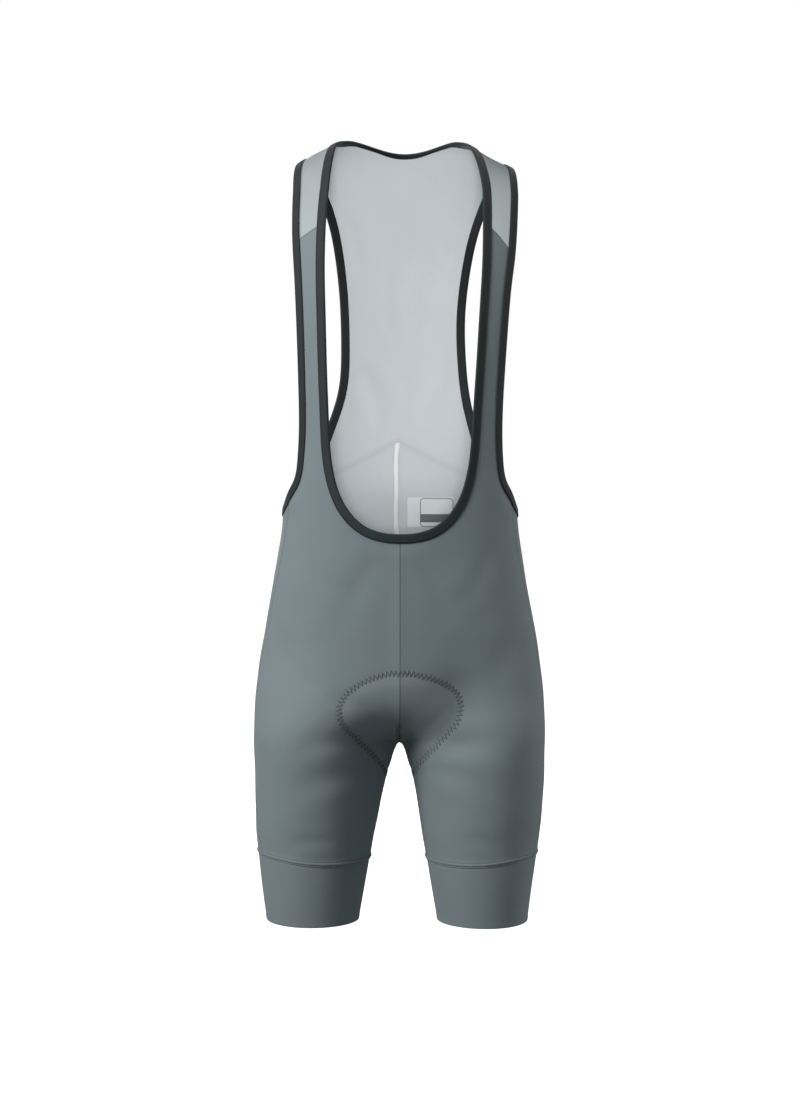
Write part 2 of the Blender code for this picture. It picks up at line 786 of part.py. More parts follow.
def binding(stations):
    """Closed channel folded round an edge: pairs of an edge point and one at the binding's width."""
    kept = []
    for edge, inner in stations:
        if not kept or np.linalg.norm(edge - kept[-1][0]) > 0.001:
            kept.append((edge, inner))
    if np.linalg.norm(kept[0][0] - kept[-1][0]) < 0.001:
        kept.pop()
    edge = np.array([pair[0] for pair in kept])
    inner = np.array([pair[1] for pair in kept])
    out_edge = outward(edge)
    out_inner = outward(inner)
    along = np.roll(edge, -1, 0) - np.roll(edge, 1, 0)
    away = unit(np.cross(out_edge, along))
    away *= np.sign(np.sum(away * (edge - inner), -1))[:, None]
    near = BINDING_GAP
    far = BINDING_GAP + BINDING_WALL
    ring = [
        inner + out_inner * far,
        edge + away * far + out_edge * far,
        edge + away * far - out_edge * (CLOTH + far),
        inner - out_inner * (CLOTH + far),
        inner - out_inner * (CLOTH + near),
        edge + away * near - out_edge * (CLOTH + near),
        edge + away * near + out_edge * near,
        inner + out_inner * near,
    ]
    guide = np.stack([inner, edge, edge, inner, inner, edge, edge, inner], 1)
    return tube(np.stack(ring, 1), guide)


def tube(rings, guide):
    """Closed tube over a loop of rings, its quads split as those of the guide are."""
    count, size = rings.shape[:2]
    faces = []
    for i in range(count):
        j = (i + 1) % count
        for k in range(size):
            m = (k + 1) % size
            corners = (i * size + k, i * size + m, j * size + m, j * size + k)
            faces += halves(corners, (guide[i, k], guide[i, m], guide[j, m], guide[j, k]))
    points = rings.reshape(-1, 3)
    a, b, c = (points[np.array(faces)[:, i]] for i in range(3))
    if np.sum(a * np.cross(b, c)) < 0:
        faces = [face[::-1] for face in faces]
    return points, faces


def leg_band():
    """Gripper band round the end of a leg."""
    sheet = Sheet()
    angles = np.linspace(PI, -PI, BAND_COLUMNS, endpoint=False)
    last = None
    for i, z in enumerate(np.linspace(HEM, BAND_TOP, BAND_ROWS + 1)):
        row = sheet.row(around(angles, z), free=range(BAND_COLUMNS) if i == 0 else ())
        if last:
            sheet.strip(last, row, closed=True)
        last = row
    return sheet


def crotch_line():
    """Middle line of the pad, under the body from front to back."""
    front = CROTCH + (PAD_FRONT - CROTCH) * np.linspace(1, 0, 60) ** 2
    back = CROTCH + (PAD_BACK - CROTCH) * np.linspace(0, 1, 60) ** 2
    front_points = around(middle_angle(front), front)
    back_points = around(-middle_angle(back), back)
    line = np.vstack([front_points, back_points[1:]])
    line[:, 0] = 0
    return line


def across_pad(point, along, half, count):
    """Points over the form to one side of a middle point, evenly spaced up to half."""
    step = 0.001
    here = point
    heading = np.array([1.0, 0.0, 0.0])
    trail = [here]
    for _ in range(int(np.ceil(half / step))):
        normal = outward(here)
        heading = heading - normal * (heading @ normal)
        heading = unit(heading - along * (heading @ along))
        here = settle(here + heading * step)
        trail.append(here)
    return at_lengths(np.array(trail), half * np.linspace(0, 1, count + 1) ** 1.4)


def seat_pad():
    """Pad over the inner faces of the panels, thick in the middle and thin at its rim."""
    line = crotch_line()
    total = lengths(line)[-1]
    shares, halves, lofts = zip(*PAD)
    half_at = spline(shares, halves)
    outer = []
    thickness = []
    for share in (1 - np.cos(np.linspace(0, PI, PAD_ROWS + 1))) / 2:
        place = share * total
        point = at_lengths(line, np.array([place]))[0]
        before, after = at_lengths(line, np.array([place - 0.002, place + 0.002]))
        half = float(half_at(share))
        side = across_pad(settle(point), unit(after - before), half, PAD_COLUMNS)
        outer.append(np.vstack([side[:0:-1] * MIRROR, side]))
        across = np.linspace(-1, 1, 2 * PAD_COLUMNS + 1)
        loft = PAD_LOFT * np.interp(share, shares, lofts)
        thickness.append(PAD_EDGE + loft * (1 - across ** 2))
    outer = np.array(outer)
    thickness = np.array(thickness)
    normals = outward(outer)
    arch = np.exp(-np.sum((outer[..., :2] / ARCH_SPREAD) ** 2, axis=-1))
    gap = CLOTH + PAD_GAP + PAD_ARCH * arch
    shell = outer - normals * gap[..., None]
    inner = outer - normals * (gap + thickness)[..., None]
    return slab(shell, inner)


def slab(shell, inner):
    """Closed solid between two grids of points."""
    rows, columns = shell.shape[:2]
    size = rows * columns
    index = np.arange(size).reshape(rows, columns)
    faces = []
    for i in range(rows - 1):
        for j in range(columns - 1):
            a, b = index[i, j], index[i, j + 1]
            c, d = index[i + 1, j + 1], index[i + 1, j]
            faces += [(a, b, c), (a, c, d)]
            faces += [(c + size, b + size, a + size), (d + size, c + size, a + size)]
    rim = list(index[0, :-1]) + list(index[:-1, -1]) + list(index[-1, :0:-1]) + list(index[:0:-1, 0])
    for i, a in enumerate(rim):
        b = rim[(i + 1) % len(rim)]
        faces += [(b, a, a + size), (b, a + size, b + size)]
    points = np.vstack([shell.reshape(-1, 3), inner.reshape(-1, 3)])
    a, b, c = (points[np.array(faces)[:, i]] for i in range(3))
    if np.sum(a * np.cross(b, c)) < 0:
        faces = [face[::-1] for face in faces]
    return points, [tuple(int(i) for i in face) for face in faces]


def trim(grid):
    """Flat trim on the inner face of the cloth, over a grid of points on the form."""
    normals = outward(grid)
    shell = grid - normals * (CLOTH + TRIM_GAP)
    return slab(shell, shell - normals * TRIM_WALL)


def back_tape(centre):
    """Tape over the centre back seam, from the slanted seam down to the pad."""
    heights = centre[:, 2]
    heights = heights[(heights > PAD_BACK + TAPE_END) & (heights < BACK_PEAK)]
    heights = np.append(heights, BACK_PEAK - TAPE_END)
    across = np.array([-TAPE_HALF, 0.0, TAPE_HALF])
    return trim(on_face(across[None, :], heights[:, None], 1))


def size_label():
    across = np.linspace(*LABEL_ACROSS, 5)
    heights = np.linspace(*LABEL_HEIGHTS, 4)
    return trim(on_face(across[None, :], heights[:, None], 1))


def make_materials():
    made = {}
    for name, (colour, roughness) in MATERIALS.items():
        material = bpy.data.materials.new(name)
        material.use_nodes = True
        shader = material.node_tree.nodes["Principled BSDF"]
        shader.inputs["Base Color"].default_value = (*colour, 1)
        shader.inputs["Roughness"].default_value = roughness
        shader.inputs["Metallic"].default_value = 0
        made[name] = material
    return made


for old in list(bpy.data.objects):
    bpy.data.objects.remove(old, do_unlink=True)
materials = make_materials()

front_sheet, front_neck, front_arm = front_panel()
side_sheet, side_arm = side_panel()
lower_back_sheet, centre_back = lower_back_panel()
upper_back_sheet, back_neck, back_arm = upper_back_panel()

add_pair("front", *front_sheet.wall(), "slate_knit")
add_pair("side", *side_sheet.wall(), "slate_knit")
add_pair("back", *lower_back_sheet.wall(), "slate_knit")
add_object("upper_back", *upper_back_sheet.wall(), "pale_knit")
add_pair("leg_band", *leg_band().wall(), "slate_knit")

half_neck = front_neck + back_neck
other_half = [(edge * MIRROR, inner * MIRROR) for edge, inner in half_neck[::-1]]
add_object("neck_binding", *binding(half_neck + other_half), "binding_knit")
add_pair("armhole_binding", *binding(side_arm + back_arm + front_arm[::-1]), "binding_knit")

add_object("seat_pad", *seat_pad(), "pad_foam")
add_object("back_seam_tape", *back_tape(centre_back), "tape_weave")
add_object("size_label", *size_label(), "label_print")
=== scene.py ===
import math
import bpy
import numpy as np
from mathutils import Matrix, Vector, kdtree


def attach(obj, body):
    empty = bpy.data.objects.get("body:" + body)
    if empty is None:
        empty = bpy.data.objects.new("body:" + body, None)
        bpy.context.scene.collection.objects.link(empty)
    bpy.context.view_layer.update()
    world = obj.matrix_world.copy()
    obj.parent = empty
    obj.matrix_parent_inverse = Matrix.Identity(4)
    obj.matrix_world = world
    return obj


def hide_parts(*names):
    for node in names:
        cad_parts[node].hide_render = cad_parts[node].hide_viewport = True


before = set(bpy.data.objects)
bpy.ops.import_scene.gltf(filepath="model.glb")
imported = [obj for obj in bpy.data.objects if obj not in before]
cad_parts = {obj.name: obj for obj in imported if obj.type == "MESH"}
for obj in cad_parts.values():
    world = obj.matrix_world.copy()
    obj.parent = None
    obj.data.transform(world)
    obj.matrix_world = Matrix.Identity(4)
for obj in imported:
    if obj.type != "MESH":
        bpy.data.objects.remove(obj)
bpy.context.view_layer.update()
print("frame:", len(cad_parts), "solids")

# Camera, straight on and level with the hips
camera = {"distance": 2.0, "height": -0.464, "across": -0.001, "lens": 56.2, "roll": -0.3}

cameraData = bpy.data.cameras.new("camera")
cameraData.lens = camera["lens"]
cameraData.sensor_width = 36
cameraBody = bpy.data.objects.new("camera", cameraData)
cameraBody.location = (camera["across"], -camera["distance"], camera["height"])
cameraBody.rotation_euler = (math.radians(90), math.radians(camera["roll"]), 0)
bpy.context.collection.objects.link(cameraBody)
bpy.context.scene.camera = cameraBody

# Form of the body that fills the garment
bodyForm = {
    # height, half width, front, back, widest line, fullness
    "sections": (
        (-0.875, 0.1500, -0.0600, 0.0620, 0.0000, 2.05),
        (-0.805, 0.1596, -0.0730, 0.0730, 0.0000, 2.05),
        (-0.740, 0.1636, -0.0830, 0.0840, 0.0005, 2.10),
        (-0.673, 0.1658, -0.0920, 0.0970, 0.0020, 2.20),
        (-0.620, 0.1645, -0.0965, 0.1070, 0.0040, 2.30),
        (-0.560, 0.1570, -0.0985, 0.1080, 0.0035, 2.40),
        (-0.500, 0.1462, -0.1000, 0.0980, -0.0010, 2.40),
        (-0.440, 0.1360, -0.1025, 0.0870, -0.0060, 2.40),
        (-0.400, 0.1325, -0.1040, 0.0840, -0.0080, 2.40),
        (-0.330, 0.1365, -0.1075, 0.0890, -0.0070, 2.35),
        (-0.250, 0.1460, -0.1100, 0.1000, -0.0030, 2.30),
        (-0.170, 0.1550, -0.1060, 0.1080, 0.0020, 2.30),
        (-0.080, 0.1640, -0.0960, 0.1080, 0.0070, 2.30),
        (0.000, 0.1700, -0.0880, 0.1040, 0.0090, 2.30),
        (0.060, 0.1720, -0.0850, 0.1000, 0.0100, 2.30),
    ),
    # height, reach of each leg towards the other
    "legs": ((-0.875, 0.0567), (-0.805, 0.0478), (-0.740, 0.0409), (-0.673, 0.0350)),
    # height, front and back seam of the side panel in degrees round from the side
    "sideSeams": (
        (-0.805, 30.0, -34.0),
        (-0.700, 14.0, -24.0),
        (-0.600, 13.0, -22.0),
        (-0.470, 18.0, -20.0),
        (-0.386, 22.0, -25.0),
    ),
    "web": 0.035,
    "blend": 0.120,
    "rounding": -0.250,
    "crotch": -0.673,
    "bandTop": -0.805,
    "hem": -0.875,
    "scoopSide": -0.455,
    "armCorner": -0.386,
    "backJoin": -0.3845,
    "backPeak": -0.325,
    "neckLow": -0.4371,
    "nape": 0.0157,
    "ridgeFall": (0.545, 0.100, 0.015),
    "yokeBow": 0.08,
    # swells: lift, across, reach across, height, reach in height
    "seat": (0.010, 0.075, 0.050, -0.625, 0.055),
    "belly": (-0.004, 0.0, 0.055, -0.640, 0.045),
}

# Knots of the neckline and armhole: across and height, and under the arm the angle from the side and height
neckFront = (
    (0.0360, -0.4298), (0.0585, -0.4090), (0.0705, -0.3830), (0.0772, -0.3480),
    (0.0800, -0.3050), (0.0828, -0.2500), (0.0852, -0.1950), (0.0874, -0.1450),
    (0.0878, -0.0915), (0.0860, -0.0450), (0.0815, -0.0120), (0.0752, 0.0085),
)
neckRidge = 0.0672
neckBack = ((0.0575, 0.0203), (0.0480, 0.0204), (0.0250, 0.0169))
underArm = ((12.0, -0.3985), (0.0, -0.4040), (-11.0, -0.4030), (-19.0, -0.3965))
armBack = (
    (0.1115, -0.3655), (0.1010, -0.3450), (0.0894, -0.3110), (0.0780, -0.2680),
    (0.0735, -0.2150), (0.0742, -0.1650), (0.0790, -0.1180), (0.0870, -0.0760),
    (0.0985, -0.0430),
)
armRidge = 0.1205
armFront = (
    (0.1256, -0.0350), (0.1250, -0.0750), (0.1228, -0.1145), (0.1196, -0.1504),
    (0.1155, -0.2100), (0.1125, -0.2700), (0.1113, -0.3180), (0.1130, -0.3550),
    (0.1171, -0.3755),
)


def naturalSpline(knots, values):
    knots = np.asarray(knots, float)
    values = np.asarray(values, float)
    gaps = np.diff(knots)
    slopes = np.diff(values) / gaps
    matrix = np.eye(len(knots))
    right = np.zeros(len(knots))
    for i in range(1, len(knots) - 1):
        matrix[i, i - 1:i + 2] = gaps[i - 1], 2 * (gaps[i - 1] + gaps[i]), gaps[i]
        right[i] = 6 * (slopes[i] - slopes[i - 1])
    bend = np.linalg.solve(matrix, right)

    def at(place):
        i = np.clip(np.searchsorted(knots, place) - 1, 0, len(gaps) - 1)
        gap, a, b = gaps[i], knots[i + 1] - place, place - knots[i]
        low = (values[i] / gap - bend[i] * gap / 6) * a
        high = (values[i + 1] / gap - bend[i + 1] * gap / 6) * b
        return (bend[i] * a ** 3 + bend[i + 1] * b ** 3) / (6 * gap) + low + high

    return at


def columnSplines(table):
    columns = list(zip(*table))
    return [naturalSpline(columns[0], column) for column in columns[1:]]


halfWidth, frontLine, backLine, middleLine, fullness = columnSplines(bodyForm["sections"])
innerReach, = columnSplines(bodyForm["legs"])
frontSeamAngle, backSeamAngle = columnSplines(bodyForm["sideSeams"])
web, crotch, rounding, bandTop, hemHeight, scoopSide, armCorner, backJoin, backPeak = (
    bodyForm[key] for key in (
        "web", "crotch", "rounding", "bandTop", "hem", "scoopSide", "armCorner", "backJoin", "backPeak"))


def unit(vectors):
    return vectors / np.linalg.norm(vectors, axis=-1, keepdims=True)


def signedPower(value, power):
    return np.sign(value) * np.abs(value) ** power


def ease(share):
    share = np.clip(share, 0, 1)
    return share * share * (3 - 2 * share)


def legAxis(z):
    split = innerReach(np.minimum(z, crotch))
    return (np.hypot(halfWidth(z), web) + split) / 2 * (1 - ease((z - crotch) / bodyForm["blend"]))


def legReach(z):
    return np.hypot(halfWidth(z), web) - legAxis(z)


def middleAngle(z):
    share = np.clip((web - legAxis(z)) / legReach(z), -1, 1)
    return np.where(z <= crotch, np.pi, np.arccos(signedPower(share, fullness(z) / 2)))


def mound(x, z, lift, across, reachX, height, reachZ):
    return lift * np.exp(-((np.abs(x) - across) / reachX) ** 2 - ((z - height) / reachZ) ** 2)


def swell(x, z, isBack):
    return np.where(isBack, mound(x, z, *bodyForm["seat"]), mound(x, z, *bodyForm["belly"]))


def bodyAround(angle, z):  # angle round from the side, front positive
    angle, z = np.broadcast_arrays(np.asarray(angle, float), np.asarray(z, float))
    isBack = angle < 0
    power = 2 / fullness(z)
    across = legAxis(z) + legReach(z) * signedPower(np.cos(np.abs(angle)), power)
    x = np.sqrt(np.maximum(across ** 2 - web ** 2, 0))
    depth = np.where(isBack, backLine(z), frontLine(z)) - middleLine(z)
    y = middleLine(z) + depth * np.abs(np.sin(angle)) ** power + swell(x, z, isBack)
    return np.stack([x, y, z], -1)


def angleOf(x, z, sign):
    share = (np.hypot(x, web) - legAxis(z)) / legReach(z)
    return sign * np.arccos(np.clip(signedPower(share, fullness(z) / 2), -1, 1))


def ridge(x):
    fall, reach, nape = bodyForm["ridgeFall"]
    return fall * (reach - np.hypot(x, nape))


def outlineShare(x, z):
    share = np.abs(np.hypot(x, web) - legAxis(z)) / legReach(z)
    return np.maximum(1 - share ** fullness(z), 1e-6) ** (1 / fullness(z))


def bodyFace(x, z, sign):  # sign 1 is the back, -1 the front
    x, z = np.broadcast_arrays(np.asarray(x, float), np.asarray(z, float))
    rise = np.clip((z - rounding) / (ridge(x) - rounding), 0, 1)
    line = backLine(z) if sign > 0 else frontLine(z)
    depth = (line - middleLine(z)) * outlineShare(x, z) * np.sqrt(1 - rise ** 3)
    return np.stack([x, middleLine(z) + depth + swell(x, z, sign > 0), z], -1)


def climbOf(x, z):
    rise = np.minimum((z - rounding) / (ridge(x) - rounding), 1)
    return np.where(rise > 0, 1 - np.sqrt(1 - rise), rise / 2)


def heightOf(x, climb):
    rise = np.where(climb > 0, 2 * climb - climb ** 2, 2 * climb)
    return rounding + rise * (ridge(x) - rounding)


def onRidge(x):
    return np.array([x, middleLine(ridge(x)), ridge(x)])


def outside(points):  # zero on the body; the same on the wearer's left and right
    x, y, z = np.moveaxis(points, -1, 0)
    isBack = y > middleLine(z)
    depth = np.where(isBack, backLine(z), frontLine(z)) - middleLine(z)
    share = (y - middleLine(z) - swell(x, z, isBack)) / depth
    power = fullness(z)
    low = np.abs((np.hypot(x, web) - legAxis(z)) / legReach(z)) ** power + np.abs(share) ** power - 1
    rise = np.clip((z - rounding) / (ridge(x) - rounding), 0, None)
    high = (share / outlineShare(x, z)) ** 2 + rise ** 3 - 1
    return np.where(z > rounding - 0.03, high, low)


def steepness(points, step=2e-5):
    moves = np.eye(3) * step
    return np.stack([(outside(points + move) - outside(points - move)) / (2 * step) for move in moves], -1)


def outward(points):
    return unit(steepness(points))


def settle(points, rounds=5):
    for _ in range(rounds):
        lean = steepness(points)
        points = points - lean * (outside(points) / np.sum(lean * lean, -1))[..., None]
    return points


def runOf(points):
    return np.concatenate([[0], np.cumsum(np.linalg.norm(np.diff(points, axis=0), axis=1))])


def pointsAt(points, places):
    run = runOf(points)
    return np.stack([np.interp(places, run, points[:, axis]) for axis in range(3)], -1)


class BodyLine:  # a smooth line on the body through chosen knots
    def __init__(self, knots):
        knots = np.asarray(knots)
        run = runOf(knots)
        dense = np.interp(np.arange(24 * len(run) - 23) / 24, np.arange(len(run)), run)
        self.points = settle(np.stack([naturalSpline(run, column)(dense) for column in knots.T], -1), 6)
        self.run = runOf(self.points)
        self.knots = self.run[::24]

    def at(self, places):
        return pointsAt(self.points, places)

    def between(self, start, end, count):  # even places between two of its knots
        return self.at(np.linspace(self.knots[start], self.knots[end], count + 1))


mirror = np.array([-1.0, 1.0, 1.0])
corner = bodyAround(np.radians(frontSeamAngle(armCorner)), armCorner)
join = bodyAround(np.radians(backSeamAngle(backJoin)), backJoin)

knots = [bodyFace(0.0, bodyForm["neckLow"], -1)]
knots += [bodyFace(x, z, -1) for x, z in neckFront] + [onRidge(neckRidge)]
knots += [bodyFace(x, z, 1) for x, z in neckBack] + [bodyFace(0.0, bodyForm["nape"], 1)]
neckLine = BodyLine([k * mirror for k in knots[3:0:-1]] + knots + [k * mirror for k in knots[-2:-5:-1]])
neckStart, scoopCorner, neckLevel, neckShoulder = 3, 5, 6, 12
napeCorner = neckStart + len(neckFront) + 2
neckEnd = neckStart + len(neckFront) + len(neckBack) + 2

knots = [corner] + [bodyAround(np.radians(angle), z) for angle, z in underArm] + [join]
knots += [bodyFace(x, z, 1) for x, z in armBack] + [onRidge(armRidge)]
knots += [bodyFace(x, z, -1) for x, z in armFront]
armLine = BodyLine(knots[-3:] + knots + knots[:4])
armStart = 3
armJoin = armStart + len(underArm) + 1
armTop = armJoin + len(armBack) + 1
armShoulder = armTop + 3
armEnd = armTop + len(armFront) + 1

across = np.linspace(0, join[0], 9)
share = across / join[0] * (1 - bodyForm["yokeBow"] * (1 - across / join[0]))
yokeHeights = backPeak + (backJoin - backPeak) * share
backSeamLine = BodyLine(bodyFace(across, yokeHeights, 1))


def bridge(start, end, count=41):  # the way over the body from one point to another
    share = np.linspace(0, 1, count)[:, None]
    return settle(start[..., None, :] * (1 - share) + end[..., None, :] * share)


# Outline of the seat pad, from its front to its back, on the wearer's left
padShape = {
    "front": -0.5886,
    "back": -0.570,
    # share of its length, half width, loft
    "rows": (
        (0.000, 0.012, 0.0), (0.012, 0.026, 0.1), (0.030, 0.040, 0.2), (0.055, 0.053, 0.4),
        (0.090, 0.063, 0.7), (0.130, 0.067, 0.9), (0.160, 0.065, 1.0), (0.200, 0.056, 1.0),
        (0.250, 0.048, 1.0), (0.320, 0.043, 1.0), (0.460, 0.040, 1.0), (0.580, 0.048, 1.0),
        (0.720, 0.074, 1.0), (0.860, 0.086, 0.8), (0.950, 0.076, 0.3), (1.000, 0.050, 0.0),
    ),
}


def padMiddle():
    front = crotch + (padShape["front"] - crotch) * np.linspace(1, 0, 90) ** 2
    back = crotch + (padShape["back"] - crotch) * np.linspace(0, 1, 90) ** 2
    line = np.vstack([bodyAround(middleAngle(front), front), bodyAround(-middleAngle(back), back)[1:]])
    line[:, 0] = 0
    return line


def padAcross(points, along, half, count, steps=60):  # marches over the body away from the middle
    here = points
    heading = np.tile([1.0, 0.0, 0.0], (len(points), 1))
    trail = [here]
    for _ in range(steps):
        normal = outward(here)
        heading = heading - normal * np.sum(heading * normal, -1)[:, None]
        heading = unit(heading - along * np.sum(heading * along, -1)[:, None])
        here = settle(here + heading * (half / steps)[:, None], 2)
        trail.append(here)
    places = np.linspace(0, 1, count + 1)
    return np.array([pointsAt(row, runOf(row)[-1] * places) for row in np.stack(trail, 1)])


def padGrid(rows, columns):
    line = padMiddle()
    shares = (1 - np.cos(np.linspace(0, np.pi, rows + 1))) / 2
    places = shares * runOf(line)[-1]
    middle = settle(pointsAt(line, places))
    along = unit(pointsAt(line, places + 0.002) - pointsAt(line, places - 0.002))
    halfAt, loftAt = columnSplines(padShape["rows"])
    return shares, padAcross(middle, along, halfAt(shares), columns), loftAt(shares)


def smooth(values, rounds):
    for _ in range(rounds):
        values[1:-1] = (values[:-2] + values[1:-1] * 2 + values[2:]) / 4
    return values


_, padSide, _ = padGrid(60, 12)
padEdge = np.vstack([padSide[0, :-1], padSide[:, -1], padSide[-1, -2::-1]])
padEdge = pointsAt(padEdge, np.linspace(0, runOf(padEdge)[-1], 900))
padEdge = settle(smooth(padEdge, 30))  # rounds its corners
padEdge[[0, -1], 0] = 0
padEdgeRun = runOf(padEdge)
padEdgeIn = np.cross(outward(padEdge), unit(np.gradient(padEdge, axis=0)))
padEdgeIn *= np.sign(np.sum(padEdgeIn[200] * (padSide[15, 3] - padEdge[200])))


def stitchSpread():  # stitches open up where the outline rolls under towards the thigh
    along = unit(np.gradient(padEdge, axis=0))
    under = ease(-padEdge[:, 1] / 0.02 + 0.5)
    longer = np.clip(1 / np.hypot(along[:, 0], along[:, 2]), 1, 1.8)
    wider = np.clip(1 / np.hypot(padEdgeIn[:, 0], padEdgeIn[:, 2]), 1, 1.9)
    longer, wider = (smooth(1 + (values - 1) * under, 60) for values in (longer, wider))
    count = np.concatenate([[0], np.cumsum(np.diff(padEdgeRun) / ((longer[1:] + longer[:-1]) / 2))])
    return count, wider


stitchRun, stitchReach = stitchSpread()
for label, run in (("neckline", neckLine.run), ("armhole", armLine.run), ("pad outline", padEdgeRun)):
    print("body form:", label, round(run[-1], 3), "m")


# Seams of the wearer's left side; those of the right are their mirror images
def seamLines():
    low = np.linspace(0, 1, 300) ** 2
    down = crotch + (bandTop - crotch) * np.linspace(0, 1, 200) ** 2
    front = crotch + (bodyForm["neckLow"] - crotch) * low
    back = crotch + (backPeak - crotch) * low
    side = np.linspace(bandTop, armCorner, 500)
    rear = np.linspace(bandTop, backJoin, 500)
    centreFront = bodyAround(middleAngle(front), front)
    centreBack = bodyAround(-middleAngle(back), back)
    centreFront[:, 0] = centreBack[:, 0] = 0
    inseam = bodyAround(np.pi, down)
    sideFront = bodyAround(np.radians(frontSeamAngle(side)), side)
    sideBack = bodyAround(np.radians(backSeamAngle(rear)), rear)
    shoulder = bridge(neckLine.at(neckLine.knots[neckShoulder]), armLine.at(armLine.knots[armShoulder]))
    return [centreFront, centreBack, inseam, sideFront, sideBack, shoulder, backSeamLine.points]


def evenly(points, step=0.0008):
    length = runOf(points)[-1]
    return pointsAt(points, np.linspace(0, length, max(2, int(length / step))))


class Nearest:  # distance to, and place along, the nearest of several lines
    def __init__(self, lines):
        self.points = np.vstack(lines)
        self.runs = np.concatenate([runOf(line) for line in lines])
        self.along = np.vstack([unit(np.gradient(line, axis=0)) for line in lines])
        self.tree = kdtree.KDTree(len(self.points))
        for i, point in enumerate(self.points):
            self.tree.insert(point, i)
        self.tree.balance()

    def of(self, points):
        found = np.array([self.tree.find(point)[1] for point in points])
        apart = points - self.points[found]
        along = np.sum(apart * self.along[found], -1)
        gap = np.linalg.norm(apart - self.along[found] * along[:, None], axis=1)
        gap = np.hypot(gap, np.maximum(np.abs(along) - 0.0008, 0))
        return gap, self.runs[found] + along, found


seams = [evenly(line) for line in seamLines()]
nearSeam = Nearest(seams + [line * mirror for line in seams])
halfNeck = evenly(neckLine.between(neckStart, neckEnd, 399))
armLoop = evenly(armLine.between(armStart, armEnd, 2999))
nearEdge = Nearest([halfNeck, halfNeck * mirror, armLoop, armLoop * mirror])
nearPad = Nearest([padEdge, padEdge * mirror])
padEdgeInBoth = np.vstack([padEdgeIn, padEdgeIn * mirror])

# Soft creases: across and height of each end, width, depth, bow to one side
creases = {
    "front": (
        # out from the crotch over the front
        (0.022, -0.668, 0.092, -0.628, 0.0110, 0.0006, 0.010),
        (-0.014, -0.652, -0.078, -0.612, 0.0100, 0.0013, -0.008),
        (0.040, -0.684, 0.120, -0.668, 0.0110, 0.0010, 0.008),
        (-0.020, -0.676, -0.112, -0.668, 0.0100, 0.0011, -0.010),
        (0.030, -0.700, 0.105, -0.722, 0.0120, 0.0012, 0.008),
        (-0.034, -0.704, -0.120, -0.716, 0.0130, 0.0014, -0.006),
        # below the scoop and towards the hips
        (0.018, -0.460, 0.052, -0.540, 0.0120, 0.0007, 0.006),
        (-0.024, -0.458, -0.064, -0.548, 0.0140, 0.0008, -0.006),
        (0.100, -0.440, 0.060, -0.520, 0.0120, 0.0008, 0.008),
        (-0.104, -0.436, -0.070, -0.505, 0.0110, 0.0009, -0.008),
        (0.128, -0.520, 0.095, -0.600, 0.0150, 0.0010, 0.010),
        (-0.126, -0.535, -0.098, -0.610, 0.0140, 0.0009, -0.012),
        # thighs, just over the bands
        (0.070, -0.770, 0.115, -0.786, 0.0090, 0.0007, 0.004),
        (-0.066, -0.776, -0.124, -0.782, 0.0080, 0.0008, -0.004),
        # straps
        (0.092, -0.335, 0.106, -0.255, 0.0090, 0.0007, 0.002),
        (-0.092, -0.310, -0.104, -0.230, 0.0090, 0.0007, -0.002),
    ),
    "back": (
        # seat and thigh backs
        (0.020, -0.690, 0.125, -0.696, 0.0110, 0.0032, 0.012),
        (-0.022, -0.688, -0.132, -0.708, 0.0120, 0.0034, -0.014),
        (0.040, -0.720, 0.130, -0.730, 0.0100, 0.0021, 0.008),
        (-0.036, -0.714, -0.118, -0.742, 0.0100, 0.0023, -0.010),
        (0.062, -0.762, 0.128, -0.752, 0.0090, 0.0014, 0.005),
        (0.012, -0.640, 0.050, -0.580, 0.0100, 0.0016, 0.006),
        (-0.014, -0.636, -0.056, -0.585, 0.0110, 0.0018, -0.004),
        (0.070, -0.560, 0.136, -0.600, 0.0120, 0.0019, 0.008),
        (-0.074, -0.548, -0.138, -0.604, 0.0130, 0.0017, -0.006),
        (0.054, -0.482, 0.122, -0.524, 0.0120, 0.0022, 0.010),
        (-0.056, -0.490, -0.126, -0.512, 0.0120, 0.0020, -0.010),
        (0.026, -0.440, 0.104, -0.466, 0.0110, 0.0018, 0.006),
        (-0.034, -0.448, -0.100, -0.456, 0.0110, 0.0019, -0.006),
        (-0.020, -0.404, -0.084, -0.418, 0.0100, 0.0013, -0.005),
        # racer back
        (0.028, -0.305, 0.060, -0.205, 0.0130, 0.0019, 0.006),
        (-0.026, -0.312, -0.056, -0.230, 0.0140, 0.0020, -0.006),
        (0.050, -0.140, 0.084, -0.030, 0.0110, 0.0016, 0.004),
        (-0.050, -0.128, -0.086, -0.040, 0.0110, 0.0017, -0.004),
        (0.012, -0.210, 0.018, -0.020, 0.0130, 0.0012, 0.003),
        (-0.022, -0.190, -0.030, -0.012, 0.0120, 0.0013, -0.003),
    ),
}


def onFace(points, face, fade):  # 1 on the front or back, going to 0 at the side
    y, z = points[:, 1], np.clip(points[:, 2], -0.9, 0.06)
    return ease((y - middleLine(z)) * (1 if face == "back" else -1) / fade)


